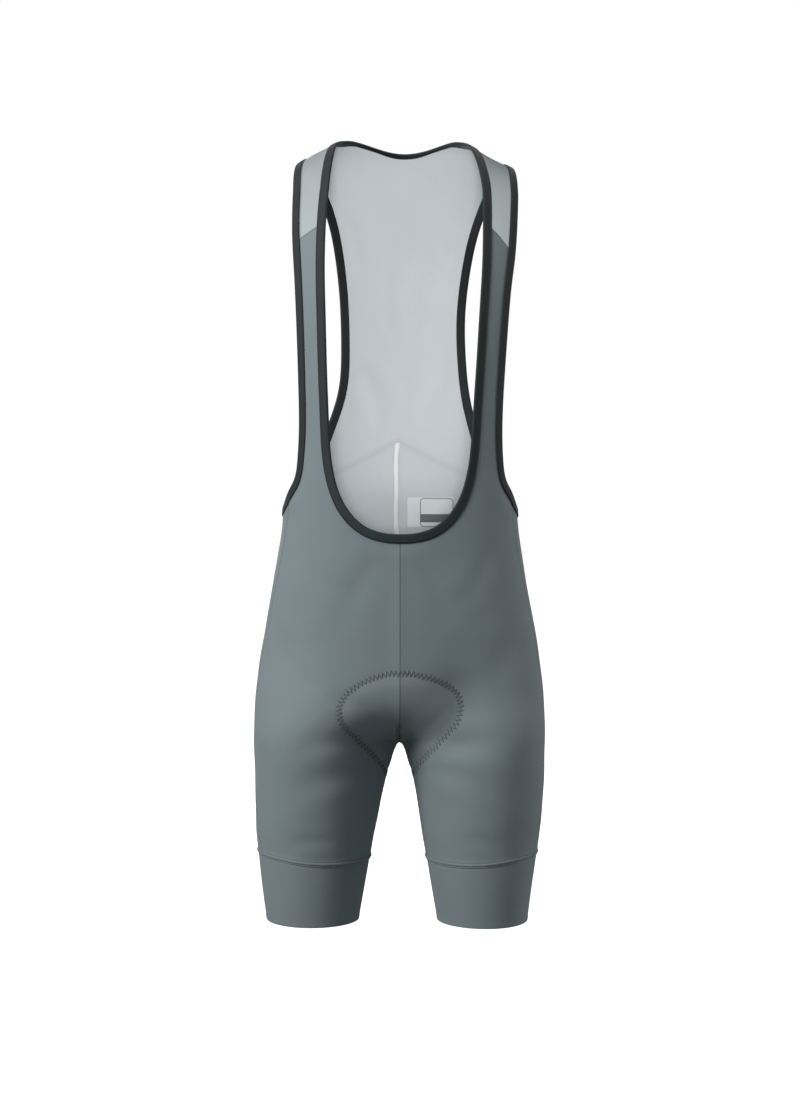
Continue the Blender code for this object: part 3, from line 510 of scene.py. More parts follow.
def creaseLift(points):
    x, y, z = points.T
    lift = np.zeros(len(points))
    for face, rows in creases.items():
        on = onFace(points, face, 0.03)
        for x0, z0, x1, z1, width, depth, bow in rows:
            run = np.hypot(x1 - x0, z1 - z0)
            ax, az = (x1 - x0) / run, (z1 - z0) / run
            share = np.clip(((x - x0) * ax + (z - z0) * az) / run, 0, 1)
            arc = np.clip(np.sin(share * np.pi), 0, 1)
            off = (z - z0) * ax - (x - x0) * az - bow * arc
            width = width * (0.75 + 0.5 * share)
            banks = 0.55 * np.exp(-((off - 1.5 * width) / width) ** 2)
            banks += 0.35 * np.exp(-((off + 1.5 * width) / width) ** 2)
            lift += on * arc ** 0.7 * depth * (banks - np.exp(-(off / width) ** 2))
    return lift


# Soft hollows and swells in front: across, height, slant in degrees, reach along and across it, lift
hollows = (
    (0.064, -0.636, 58.0, 0.050, 0.0450, -0.0145),
    (0.058, -0.612, 72.0, 0.030, 0.0300, -0.0040),
    (-0.016, -0.668, 0.0, 0.044, 0.0640, -0.0105),
    (-0.044, -0.656, -35.0, 0.026, 0.0120, -0.0016),
    (0.050, -0.676, 48.0, 0.026, 0.0130, 0.0012),
)


def hollowMove(points):  # in along one way, so that they don't fold the cloth at the crotch
    x, y, z = points.T
    lift = np.zeros(len(points))
    for atX, atZ, slant, along, over, by in hollows:
        c, s = math.cos(math.radians(slant)), math.sin(math.radians(slant))
        u, v = (x - atX) * c + (z - atZ) * s, (z - atZ) * c - (x - atX) * s
        lift += by * np.exp(-(u / along) ** 2 - (v / over) ** 2)
    return (lift * onFace(points, "front", 0.05))[:, None] * np.array([0.0, -0.94, -0.34])


def slackLift(points):  # broad uneven slack
    x, y, z = points.T
    lift = 0.00045 * np.sin(31 * x + 17 * z + 1.3) * np.sin(23 * z - 11 * y + 0.4)
    lift += 0.00030 * np.sin(64 * x - 28 * z + 2.1 + 9 * y) * np.sin(41 * z + 37 * x)
    lift += 0.00016 * np.sin(120 * z + 70 * x + 3.0) * np.sin(96 * x - 50 * y + 0.7)
    return lift


# Puckers along a seam and the fold of its allowance beside it
seamForm = {
    "pucker": 0.00016, "pitch": 0.0072, "reach": 0.0050, "fold": 0.00010, "foldAt": 0.0034, "foldWidth": 0.0024,
}


def seamLift(gap, run):
    pucker = seamForm["pucker"] * np.sin(run / seamForm["pitch"] * 2 * np.pi + 1.7 * np.sin(run * 55))
    fold = seamForm["fold"] * np.exp(-((gap - seamForm["foldAt"]) / seamForm["foldWidth"]) ** 2)
    return fold + pucker * np.exp(-(gap / seamForm["reach"]) ** 2)


# Turned and stitched join between leg and band, in heights over it
bandJoin = {"ridge": 0.0034, "width": 0.0028, "lift": 0.0014, "rows": (0.0016, 0.0053), "rowDepth": 0.00055}


def bandLift(points):
    x, y, z = points.T
    h = z - bandTop
    angle = np.arctan2(y, np.abs(x) - 0.1)
    pucker = 1 + 0.16 * np.sin(angle * 41 + 2 * np.sin(angle * 9)) + 0.12 * np.sin(angle * 67 + x * 40)
    above = bandJoin["lift"] * np.exp(-((h - bandJoin["ridge"]) / bandJoin["width"]) ** 2) * pucker
    above -= sum(bandJoin["rowDepth"] * np.exp(-((h - row) / 0.0006) ** 2) for row in bandJoin["rows"])
    below = -0.0007 * np.exp(-(h / 0.0016) ** 2) - 0.00025 * np.exp(-(h / 0.012) ** 2)
    hem = 0.0003 * np.exp(-((z - hemHeight - 0.002) / 0.003) ** 2)
    return np.where(h >= 0, above * (h < 0.02), below + hem * (h < -0.03))


# The pad's thickness swells the cloth inside its stitching
padSwell = {"plump": 0.0014, "start": 0.0015, "over": 0.014, "dent": -0.00035, "dentWidth": 0.0034}


def padLift(points):
    gap, run, found = nearPad.of(points)
    inward = np.sum((points - nearPad.points[found]) * padEdgeInBoth[found], -1)
    gap = np.where(inward > 0, gap, -gap)
    plump = padSwell["plump"] * ease((gap - padSwell["start"]) / padSwell["over"])
    dent = padSwell["dent"] * np.exp(-(gap / padSwell["dentWidth"]) ** 2)
    return plump + dent, gap / np.interp(run, padEdgeRun, stitchReach), np.interp(run, padEdgeRun, stitchRun)


# The small fold where the four panels meet, and the slight angle at which the fronts meet above it
pinch = {"across": -0.0015, "width": 0.0016, "low": -0.690, "high": -0.643, "fade": 0.010, "depth": -0.0060}
roof = {"lift": 0.0021, "width": 0.017, "low": -0.665, "fade": 0.03}


def crotchPinch(points):
    x, y, z = points.T
    off = x - pinch["across"] - 0.0006 * np.sin((z + 0.655) * 350)
    share = ease((z - pinch["low"]) / pinch["fade"]) * ease((pinch["high"] - z) / pinch["fade"])
    return pinch["depth"] * np.exp(-(off / pinch["width"]) ** 2) * share * onFace(points, "front", 0.02)


def roofLift(points):
    x, y, z = points.T
    share = onFace(points, "front", 0.03) * ease((z - roof["low"]) / roof["fade"])
    return roof["lift"] * np.exp(-np.abs(x) / roof["width"]) * share


def dress(points, normals):  # cloth's own relief on the body, with what the materials read
    seamGap, seamRun, _ = nearSeam.of(points)
    edgeGap, _, _ = nearEdge.of(points)
    padding, padGap, padRun = padLift(points)
    h = points[:, 2] - bandTop
    free = ease((edgeGap - 0.0095) / 0.014)  # flat under the binding
    lift = creaseLift(points) + slackLift(points) * (ease(h / 0.03) * 0.8 + 0.2)
    lift = (lift + padding + crotchPinch(points) + roofLift(points) + seamLift(seamGap, seamRun)) * free
    lift += bandLift(points)
    bandRow = np.min([np.abs(h - row) for row in bandJoin["rows"]], axis=0)
    facts = {"seamGap": seamGap, "padGap": padGap, "padRun": padRun, "bandRow": bandRow}
    return points + normals * lift[:, None] + hollowMove(points), facts


# Places along a row: even, with closer ones at the ends where a seam dips
closeUp = np.array([0.0, 0.0007, 0.0016, 0.0030])
hemRows = bandTop + np.array([
    0.0, 0.0007, 0.0012, 0.0016, 0.0021, 0.0028, 0.0036, 0.0044, 0.0049, 0.0053, 0.0058, 0.0066, 0.0080])


def spread(length, count, closeStart=True, closeEnd=True):
    start = closeUp if closeStart else closeUp[:1]
    end = length - closeUp[::-1] if closeEnd else np.array([length])
    middle = count - (len(start) - 1) - (len(end) - 1)
    return np.concatenate([start[:-1], np.linspace(start[-1], end[0], middle + 1), end[1:]])


def spaced(line, count, closeStart=True, closeEnd=True):
    return pointsAt(line, spread(runOf(line)[-1], count, closeStart, closeEnd))


class Cloth:  # rows of points on the body, joined into one sheet
    def __init__(self, rows):
        self.points, self.cloth, self.faces = [], [], []
        self.climb = 0.0
        self.last = self.rows(rows)

    def row(self, points, last=None):
        start = sum(len(part) for part in self.points)
        if last is not None:
            before = np.vstack(self.points)[last[len(last) // 2]]
            self.climb += np.linalg.norm(points[len(points) // 2] - before)
        run = runOf(points)
        self.points.append(points)
        self.cloth.append(np.stack([run - run[-1], np.full(len(run), self.climb)], -1))
        index = list(range(start, start + len(points)))
        if last is not None:
            self.faces += [(last[i], last[i + 1], index[i + 1], index[i]) for i in range(len(index) - 1)]
        return index

    def rows(self, rows, last=None):
        for points in rows:
            last = self.row(points, last)
        return last


# The garment doesn't hang quite plumb: height, drift to the wearer's left
lean = (
    (-0.875, -0.0012), (-0.800, -0.0013), (-0.700, -0.0003), (-0.600, -0.0002), (-0.464, -0.0009),
    (-0.350, -0.0012), (-0.280, -0.0008), (-0.170, 0.0006), (-0.100, 0.0018), (-0.050, 0.0032), (0.0, 0.0020),
)
# Local strain: face, across, height, reach across and in height, drift, rise
strain = (
    ("back", 0.000, -0.262, 0.300, 0.062, 0.0032, 0.0),
    ("back", 0.000, -0.410, 0.055, 0.115, -0.0050, 0.0),
    ("back", 0.000, -0.322, 0.034, 0.040, -0.0017, 0.0024),
    ("both", 0.158, -0.850, 0.040, 0.055, -0.0026, 0.0),
    ("both", 0.000, -0.674, 0.020, 0.014, 0.0, 0.0014),
    ("both", -0.064, 0.016, 0.022, 0.022, -0.0045, -0.0014),
    ("both", 0.064, 0.016, 0.022, 0.022, 0.0, -0.0016),
    ("front", 0.128, -0.104, 0.020, 0.050, 0.0, -0.0130),
    ("both", 0.000, 0.016, 0.030, 0.020, 0.0, -0.0026),
    ("both", -0.100, -0.005, 0.030, 0.030, 0.0, 0.0030),
    ("both", 0.100, -0.005, 0.030, 0.030, 0.0, -0.0028),
    ("both", -0.132, -0.400, 0.030, 0.020, 0.0, -0.0030),
    ("both", 0.132, -0.400, 0.030, 0.020, 0.0, -0.0030),
    ("both", -0.155, -0.815, 0.050, 0.040, 0.0, 0.0085),
    ("both", 0.155, -0.815, 0.050, 0.040, 0.0, 0.0085),
    ("both", 0.000, -0.900, 0.400, 0.060, 0.0, 0.0020),
)


def leaning(points):
    heights, drifts = zip(*lean)
    x, y, z = points.T
    shares = {"back": onFace(points, "back", 0.03), "both": 1.0}
    shares["front"] = 1 - shares["back"]
    drift, rise = np.interp(z, heights, drifts), np.zeros(len(points))
    for face, atX, atZ, reachX, reachZ, driftBy, riseBy in strain:
        share = shares[face] * np.exp(-((x - atX) / reachX) ** 2 - ((z - atZ) / reachZ) ** 2)
        drift, rise = drift + share * driftBy, rise + share * riseBy
    return points + np.stack([drift, 0 * x, rise], -1)


def makeMesh(name, points, faces, facing, cloth, materials, facts={}):  # facing: the way out at each point
    faces = np.array(faces)
    a, b, c = (points[faces[:, i]] for i in range(3))
    if np.sum(np.cross(b - a, c - a) * facing[faces[:, 0]]) < 0:
        faces = faces[:, ::-1]
    mesh = bpy.data.meshes.new(name)
    mesh.from_pydata(leaning(points).tolist(), [], faces.tolist())
    layer = mesh.uv_layers.new(name="cloth")
    corners = np.zeros(len(mesh.loops), np.int32)
    mesh.loops.foreach_get("vertex_index", corners)
    layer.data.foreach_set("uv", cloth[corners].ravel())
    for label, values in facts.items():
        mesh.attributes.new(label, "FLOAT", "POINT").data.foreach_set("value", values)
    mesh.shade_smooth()
    piece = bpy.data.objects.new(name, mesh)
    for material in materials:
        piece.data.materials.append(material)
    bpy.context.collection.objects.link(piece)
    return piece


clothWall = 0.0011


def makeCloth(name, sheet, side, outer, inner):
    points = np.vstack(sheet.points) * [side, 1, 1]
    normals = outward(points)
    points, facts = dress(points, normals)
    cloth = np.vstack(sheet.cloth) * [side, 1]
    piece = makeMesh(name, points, sheet.faces, normals, cloth, [outer, inner], facts)
    mesh = piece.data
    edges = np.zeros(len(mesh.loops), np.int32)
    mesh.loops.foreach_get("edge_index", edges)
    cutEdge = np.bincount(edges, minlength=len(mesh.edges)) == 1
    mesh.attributes.new("sharp_edge", "BOOLEAN", "EDGE").data.foreach_set("value", cutEdge)
    solid = piece.modifiers.new("thickness", "SOLIDIFY")
    solid.thickness = clothWall
    solid.offset = -1
    solid.material_offset = 1
    return piece


def legRows(seamAngle, sign, count):
    levels = crotch - (crotch - bandTop) * np.linspace(1, 0, 58) ** 1.6
    levels = np.concatenate([hemRows, levels[levels > hemRows[-1] + 0.0015]])
    across = [np.linspace(sign * np.pi, np.radians(seamAngle(z)), 240) for z in levels]
    return [spaced(bodyAround(angles, z), count) for angles, z in zip(across, levels)]


def torsoRows(top, seamAngle, sign, rowCount):
    heights = top[:, 2]
    middle = sign * middleAngle(heights)
    sideAngle = np.radians(seamAngle(heights))
    topShare = (angleOf(top[:, 0], heights, sign) - middle) / (sideAngle - middle)
    dense = np.linspace(sign * np.pi, np.radians(seamAngle(crotch)), 600)
    run = runOf(bodyAround(dense, crotch))
    lowShare = np.interp(spread(run[-1], len(top) - 1), run, np.linspace(0, 1, 600))
    startBend = 0.93 * (1 - lowShare) ** 2
    rows = []
    for v in np.linspace(0, 1, rowCount + 1)[1:-1]:
        z = crotch + (heights - crotch) * ((1 - startBend) * v + startBend * v * v)
        share = lowShare + (topShare - lowShare) * v
        middle = sign * middleAngle(z)
        rows.append(bodyAround(middle + (np.radians(seamAngle(z)) - middle) * share, z))
    return rows + [top]


frontCut = {"columns": 66, "scoopColumns": 26, "torsoRows": 90, "sideRows": 28, "strapRows": 116}
sideCut = {"columns": 20, "rows": 132, "armRows": 25}
backCut = {"columns": 66, "rows": 120}
racerCut = {"columns": 44, "napeColumns": 20, "rows": 112, "ridgeRows": 46}
bandCut = {"columns": 149, "rows": 34}


def frontSheet():
    columns, scoopColumns, torso, sideRows, strapRows = frontCut.values()
    rest = columns - scoopColumns
    scoop = spaced(neckLine.between(neckStart, scoopCorner, 399), scoopColumns, closeEnd=False)
    sideEnd = bodyAround(np.radians(frontSeamAngle(scoopSide)), scoopSide)
    top = np.vstack([scoop, spaced(bridge(scoop[-1], sideEnd, 80), rest, closeStart=False)[1:]])
    sheet = Cloth(legRows(frontSeamAngle, 1, columns) + torsoRows(top, frontSeamAngle, 1, torso))
    levels = np.linspace(scoopSide, armCorner, sideRows + 1)[1:]
    inner = np.vstack([
        neckLine.between(scoopCorner, neckLevel, sideRows)[1:],
        neckLine.between(neckLevel, neckShoulder, strapRows)[1:]])
    outer = np.vstack([
        bodyAround(np.radians(frontSeamAngle(levels)), levels),
        armLine.between(armEnd, armShoulder, strapRows)[1:]])
    straps = [spaced(row, rest, closeStart=False) for row in bridge(inner, outer)]
    sheet.rows(straps, sheet.last[scoopColumns:])
    return sheet


def sideSheet():
    shares = spread(0.05, sideCut["columns"]) / 0.05

    def angles(z):
        return np.radians(frontSeamAngle(z) * (1 - shares) + backSeamAngle(z) * shares)

    levels = np.linspace(hemRows[-1] + 0.0018, scoopSide, sideCut["rows"])
    edge = armLine.at(np.interp(shares, [0, 1], armLine.knots[[armStart, armJoin]]))
    sign = np.where(edge[:, 1] > middleLine(edge[:, 2]), -1, 1)
    drift = angleOf(edge[:, 0], edge[:, 2], sign) - angles(edge[:, 2])
    rows = [bodyAround(angles(z), z) for z in np.concatenate([hemRows, levels])]
    for share in np.linspace(0, 1, sideCut["armRows"] + 1)[1:]:
        z = scoopSide + (edge[:, 2] - scoopSide) * share
        rows.append(bodyAround(angles(z) + drift * share, z))
    return Cloth(rows)


def backSheet():
    columns, rows = backCut.values()
    top = spaced(backSeamLine.points, columns)
    return Cloth(legRows(backSeamAngle, -1, columns) + torsoRows(top, backSeamAngle, -1, rows))


def bandSheet():
    heights = hemHeight + spread(bandTop - hemHeight, bandCut["rows"])
    rings = [bodyAround(np.linspace(np.pi, -np.pi, 600), z) for z in heights]
    return Cloth([spaced(ring, bandCut["columns"], False, False) for ring in rings])


def straight(start, end, count):
    return start + (end - start) * np.linspace(0, 1, count)[:, None]


def racerSheet():
    columns, napeColumns, rows, ridgeRows = racerCut.values()
    count = columns - napeColumns
    low = spaced(backSeamLine.points, columns)
    nape = neckLine.between(neckEnd, napeCorner, napeColumns)
    edge = armLine.between(armJoin, armTop, rows)
    top = np.vstack([nape, spaced(bridge(nape[-1], edge[-1], 60), count, False, False)[1:]])
    centre = bodyFace(0.0, np.linspace(backPeak, bodyForm["nape"], rows + 1), 1)
    chart = [np.stack([line[:, 0], climbOf(line[:, 0], line[:, 2])], -1) for line in (low, top, centre, edge)]
    bows = [line - straight(line[0], line[-1], columns + 1) for line in chart[:2]]
    grid = [low]
    for i, v in enumerate(np.linspace(0, 1, rows + 1)[1:-1], 1):
        spot = straight(chart[2][i], chart[3][i], columns + 1) + bows[0] * (1 - v) ** 3 + bows[1] * v ** 3
        grid.append(bodyFace(spot[:, 0], heightOf(spot[:, 0], spot[:, 1]), 1))
    sheet = Cloth([np.vstack([row[:0:-1] * mirror, row]) for row in grid + [top]])
    inner = neckLine.between(napeCorner, neckShoulder, ridgeRows)[1:]
    outer = armLine.between(armTop, armShoulder, ridgeRows)[1:]
    straps = [spaced(row, count, False, False) for row in bridge(inner, outer)]
    climb = sheet.climb
    sheet.rows(straps, sheet.last[columns + napeColumns:])
    sheet.climb = climb
    sheet.rows([row[::-1] * mirror for row in straps], sheet.last[:count + 1])
    return sheet


# Materials
def newMaterial(name, colour, roughness, sheen=0.0, sheenRoughness=0.5):
    material = bpy.data.materials.new(name)
    material.use_nodes = True
    shader = material.node_tree.nodes["Principled BSDF"]
    shader.inputs["Base Color"].default_value = (*colour, 1)
    shader.inputs["Roughness"].default_value = roughness
    shader.inputs["Sheen Weight"].default_value = sheen
    shader.inputs["Sheen Roughness"].default_value = sheenRoughness
    shader.inputs["Specular IOR Level"].default_value = 0.25
    return material, material.node_tree, shader


def addNode(tree, kind, settings=None, **inputs):
    node = tree.nodes.new(kind)
    for key, value in (settings or {}).items():
        setattr(node, key, value)
    for key, value in inputs.items():
        slot = node.inputs[int(key[1:])] if key[0] == "i" and key[1:].isdigit() else node.inputs[key]
        value = getattr(value, "socket", value)
        if isinstance(value, bpy.types.NodeSocket):
            tree.links.new(value, slot)
        else:
            slot.default_value = value
    return node


class Signal:  # a value inside a material, for plain arithmetic
    def __init__(self, tree, socket):
        self.tree, self.socket = tree, socket

    def maths(self, operation, other=0.0):
        node = addNode(self.tree, "ShaderNodeMath", {"operation": operation}, i0=self.socket, i1=other)
        return Signal(self.tree, node.outputs[0])

    def __add__(self, other):
        return self.maths("ADD", other)

    def __sub__(self, other):
        return self.maths("SUBTRACT", other)

    def __mul__(self, other):
        return self.maths("MULTIPLY", other)

    def __truediv__(self, other):
        return self.maths("DIVIDE", other)

    def __abs__(self):
        return self.maths("ABSOLUTE")

    def bell(self, width):  # 1 at zero, falling off over the width
        scaled = self / width
        return (scaled * scaled * -1.0).maths("EXPONENT")


def fact(tree, name):
    return Signal(tree, addNode(tree, "ShaderNodeAttribute", {"attribute_name": name}).outputs["Fac"])


def clothPlace(tree):  # place along a row of the cloth, and over the rows
    place = addNode(tree, "ShaderNodeUVMap", {"uv_map": "cloth"}).outputs[0]
    parts = addNode(tree, "ShaderNodeSeparateXYZ", i0=place).outputs
    return Signal(tree, parts[0]), Signal(tree, parts[1])


def noise(tree, scale, detail):
    place = addNode(tree, "ShaderNodeTexCoord").outputs["Object"]
    node = addNode(tree, "ShaderNodeTexNoise", Vector=place, Scale=scale, Detail=detail)
    return Signal(tree, node.outputs[0])


def knitHeight(tree, wale, course):  # rows of small chevrons
    across, up = clothPlace(tree)
    slant = abs((across / wale).maths("FRACT") - 0.5)
    loops = ((up / course - slant) * (2 * math.pi)).maths("SINE")
    return loops * 0.35 - (slant * 2.0).maths("POWER", 3.0)


def mottled(tree, colour, amount, scale):
    both = noise(tree, scale, 4.0) * 0.6 + noise(tree, scale * 60, 2.0) * 0.4
    ramp = addNode(tree, "ShaderNodeValToRGB", Fac=both)
    for stop, place, share in zip(ramp.color_ramp.elements, (0.25, 0.75), (1 - amount, 1 + amount)):
        stop.position = place
        stop.color = (*[c * share for c in colour], 1)
    return ramp.outputs[0]


def mixed(tree, mask, first, second, kind="MIX"):
    settings = {"data_type": "RGBA", "blend_type": kind}
    return addNode(tree, "ShaderNodeMix", settings, i0=mask, i6=first, i7=second).outputs[2]


def darken(tree, colour, amount, mask):
    return mixed(tree, mask, colour, (amount, amount, amount, 1), "MULTIPLY")


def finish(tree, shader, colour, *bumps):  # bumps: height, distance, strength, the finest last
    if colour:
        tree.links.new(colour, shader.inputs["Base Color"])
    normal = None
    for height, distance, strength in bumps:
        bump = addNode(tree, "ShaderNodeBump", Height=height, Distance=distance, Strength=strength)
        if normal:
            tree.links.new(normal, bump.inputs["Normal"])
        normal = bump.outputs[0]
    tree.links.new(normal, shader.inputs["Normal"])


# colour, roughness, sheen, and how dark and how wide the painted shade along its seams is
knits = {
    "slate knit": ((0.170, 0.209, 0.222), 0.72, 0.12, 0.42, 0.00065),
    "slate knit inside": ((0.43, 0.462, 0.475), 0.80, 0.10, 0.93, 0.0045),
    "pale knit": ((0.345, 0.383, 0.392), 0.78, 0.10, 0.52, 0.00065),
    "pale knit inside": ((0.44, 0.470, 0.482), 0.80, 0.10, 0.93, 0.0045),
}
knitForm = {"wale": 0.0011, "course": 0.0009, "relief": 0.00012, "mottle": 0.05, "mottleScale": 9.0}
padStitch = {"pitch": 0.0047, "reach": 0.0032, "thread": 0.00050, "dent": 0.0006, "dentShade": 0.86}
bandStitch = {"width": 0.00045, "shade": 0.66}


def knitMaterial(name):
    base, roughness, sheen, seam, seamShadeWidth = knits[name]
    material, tree, shader = newMaterial(name, base, roughness, sheen)
    colour = mottled(tree, base, knitForm["mottle"], knitForm["mottleScale"])
    # painted shade along the seams: a thin dark line outside for the shade in the seam's groove, a wide soft
    # band inside
    colour = darken(tree, colour, seam, fact(tree, "seamGap").bell(seamShadeWidth))
    bumps = [(knitHeight(tree, knitForm["wale"], knitForm["course"]), knitForm["relief"], 0.35)]
    if name == "slate knit":
        wave = fact(tree, "padRun").maths("PINGPONG", padStitch["pitch"] / 2)
        wave = wave * (4 * padStitch["reach"] / padStitch["pitch"]) - padStitch["reach"]
        dent = (fact(tree, "padGap") - wave).bell(padStitch["dent"])
        # the stitch dents are darkened in the colour as well as bumped: painted shade of the dimples the
        # stitches press into the cloth
        colour = darken(tree, colour, padStitch["dentShade"], dent)
        colour = darken(tree, colour, bandStitch["shade"], fact(tree, "bandRow").bell(bandStitch["width"]))
        bumps.insert(0, (dent, -0.0008, 0.8))
    finish(tree, shader, colour, *bumps)
    return material


slateKnit, slateInside, paleKnit, paleInside = (knitMaterial(name) for name in knits)
print("materials for the knits are ready")

pieces = {}


def add(name, piece, node):  # into the garment, in place of its plain solid
    pieces[name] = piece
    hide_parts(node)
    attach(piece, "root")


sheets = {"front": frontSheet(), "side": sideSheet(), "back": backSheet()}
for side, label in ((1, "left"), (-1, "right")):
    for part, sheet in sheets.items():
        name = part + "Panel" + label.capitalize()
        add(name, makeCloth(name, sheet, side, slateKnit, slateInside), part + "_" + label)
add("racerBack", makeCloth("racerBack", racerSheet(), 1, paleKnit, paleInside), "upper_back")
print("panels sewn")
bands = bandSheet()
for side, label in ((1, "left"), (-1, "right")):
    name = "legBand" + label.capitalize()
    add(name, makeCloth(name, bands, side, slateKnit, slateInside), "leg_band_" + label)
print("leg bands sewn on")

# Folded elastic binding
binding = {
    "width": 0.0092, "cloth": 0.0012, "gap": 0.0002, "wall": 0.0011, "step": 0.0028, "nose": 0.0006,
    "colour": (0.018, 0.023, 0.025), "rib": 0.0011, "stitch": 0.0026, "dash": 0.72, "stitchRow": 0.0074,
    "narrower": 0.58,  # at the nape, where it lies on its edge
}


def bindingMaterial():
    material, tree, shader = newMaterial("binding elastic", binding["colour"], 0.66, 0.16, 0.35)
    run, across = clothPlace(tree)
    rib = (run * (2 * math.pi / binding["rib"])).maths("SINE")
    dash = (run / binding["stitch"]).maths("FRACT").maths("LESS_THAN", binding["dash"])
    row = (abs(across) - binding["stitchRow"]).bell(0.00035) * dash
    colour = mottled(tree, binding["colour"], 0.18, 40.0)
    finish(tree, shader, colour, (row, 0.0004, 0.7), (rib, 0.00012, 0.5))
    return material


def foldProfile():  # distance in from the edge, height off the cloth's middle, run round the fold
    half = binding["cloth"] / 2 + binding["gap"]
    outer = half + binding["wall"]
    width, nose = binding["width"], binding["nose"]
    flat = np.linspace(width, nose, 7)
    top = np.stack([flat, outer + 0.00012 * np.sin(np.pi * flat / width)], -1)
    top[0, 1] -= 0.00035
    turn = np.radians(np.linspace(90, -90, 9)[1:-1])
    fold = np.stack([nose - outer * np.cos(turn) * 0.9, outer * np.sin(turn)], -1)
    inner = np.array([(width - 0.0001, -half), (0.0004, -half), (0.0004, half), (width - 0.0001, half)])
    return np.vstack([top, fold, top[::-1] * [1, -1], inner])


def bindingPiece(name, loop, material):
    closed = np.vstack([loop, loop[:1]])
    run = np.linspace(0, runOf(closed)[-1], int(runOf(loop)[-1] / binding["step"]) + 1)
    points = settle(pointsAt(closed, run)[:-1])
    normals = outward(points)
    inward = unit(np.cross(normals, np.roll(points, -2, 0) - np.roll(points, 2, 0)))
    hole = np.mean(points, axis=0)
    nearer = np.linalg.norm(points + inward * 0.006 - hole, axis=1) - np.linalg.norm(points - hole, axis=1)
    inward = inward * (-1 if np.mean(nearer) < 0 else 1)  # away from the hole, onto the cloth
    profile = foldProfile()
    size, count = len(profile), len(points)
    atNape = ease((points[:, 2] - 0.012) / 0.006) * ease((0.070 - np.abs(points[:, 0])) / 0.02)
    width = profile[None, :, 0] * (1 - binding["narrower"] * atNape)[:, None]
    lift = profile[:, 1:] - binding["cloth"] / 2
    flat = points[:, None] + inward[:, None] * width[..., None]
    onBody = settle(flat.reshape(-1, 3), 4)  # lays each place of the profile on the body's own curve
    laid = onBody + outward(onBody) * np.tile(lift, (count, 1))
    keep = np.clip(width / 0.002, 0, 1).reshape(-1, 1)
    rings = (flat + normals[:, None] * lift).reshape(-1, 3) * (1 - keep) + laid * keep
    index = np.arange(count * size).reshape(count, size)
    ahead, over = np.roll(index, -1, 0), np.roll(index, -1, 1)
    faces = np.stack([index, over, np.roll(ahead, -1, 1), ahead], -1).reshape(-1, 4)
    cloth = np.stack([np.repeat(run[:-1], size), np.tile(profile[:, 0], count)], -1)
    return makeMesh(name, rings, faces, rings - np.repeat(points, size, axis=0), cloth, [material])


bindingElastic = bindingMaterial()
loops = {
    "neckBinding": (np.vstack([halfNeck[:-1], (halfNeck * mirror)[:0:-1]]), "neck_binding"),
    "armBindingLeft": (armLoop[:-1], "armhole_binding_left"),
    "armBindingRight": ((armLoop[:-1] * mirror)[::-1], "armhole_binding_right"),
}
for name, (loop, node) in loops.items():
    add(name, bindingPiece(name, loop, bindingElastic), node)
print("edges bound")


def threadMaterial(name, colour):
    material, tree, shader = newMaterial(name, colour, 0.55, 0.3)
    finish(tree, shader, None, (noise(tree, 2600.0, 1.0), 0.0001, 0.6))
    return material


def makeThread(name, points, radius, material):
    curve = bpy.data.curves.new(name, "CURVE")
    curve.dimensions = "3D"
    curve.bevel_depth = radius
    curve.bevel_resolution = 1
    curve.use_fill_caps = True
    line = curve.splines.new("POLY")
    line.points.add(len(points) - 1)
    line.points.foreach_set("co", np.hstack([leaning(points), np.ones((len(points), 1))]).ravel())
    curve.materials.append(material)
    piece = bpy.data.objects.new(name, curve)
    bpy.context.collection.objects.link(piece)
    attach(piece, "root")
    return piece


# Zigzag round the seat pad, sewn through the cloth
# the thread's slate colour is set darker than the cloth's: partly painted shade of the stitches
slateThread = threadMaterial("slate thread", (0.105, 0.130, 0.140))
for side, label in ((1, "left"), (-1, "right")):
    turns = np.arange(0, stitchRun[-1], padStitch["pitch"] / 2)
    number = np.arange(len(turns))
    uneven = 1.04 + 0.10 * np.sin(number * 2.3 + side) + 0.06 * np.sin(number * 0.61)
    reach = np.where(number % 2 == 0, -1.0, 1.0) * padStitch["reach"] * uneven
    steps = np.arange(0, len(turns) - 1, 0.25)
    run = np.interp(np.interp(steps, number, turns), stitchRun, padEdgeRun)
    off = np.interp(steps, number, reach) * np.interp(run, padEdgeRun, stitchReach)
    inward = unit(np.stack([np.interp(run, padEdgeRun, padEdgeIn[:, axis]) for axis in range(3)], -1))
    points = settle(pointsAt(padEdge, run) + inward * off[:, None]) * [side, 1, 1]
    normals = outward(points)
    rise = 0.00005 + 0.00022 * np.sin(steps % 1 * np.pi)  # each stitch stands up between its ends
    laid = dress(points, normals)[0] + normals * rise[:, None]
    name = "padStitching" + label.capitalize()
    pieces[name] = makeThread(name, laid, padStitch["thread"], slateThread)
print("pad stitched in")

# Seat pad
padLook = {
    "edge": 0.0020, "loft": 0.0060, "gap": 0.0038, "arch": 0.0015, "colour": (0.58, 0.60, 0.61),
    "groove": (0.045, 0.42), "wings": (0.52, 0.035, 0.32), "cells": 330.0,
}


def padMaterial():
    material, tree, shader = newMaterial("pad fleece", padLook["colour"], 0.9, 0.4)
    cloth = addNode(tree, "ShaderNodeUVMap", {"uv_map": "cloth"}).outputs[0]
    cells = addNode(tree, "ShaderNodeTexVoronoi", Vector=cloth, Scale=padLook["cells"]).outputs["Distance"]
    fuzz = addNode(tree, "ShaderNodeTexNoise", Vector=cloth, Scale=2600.0, Detail=3.0).outputs[0]
    colour = mottled(tree, padLook["colour"], 0.06, 14.0)
    finish(tree, shader, colour, (cells, 0.0007, 0.5), (fuzz, 0.0002, 0.4))
    return material


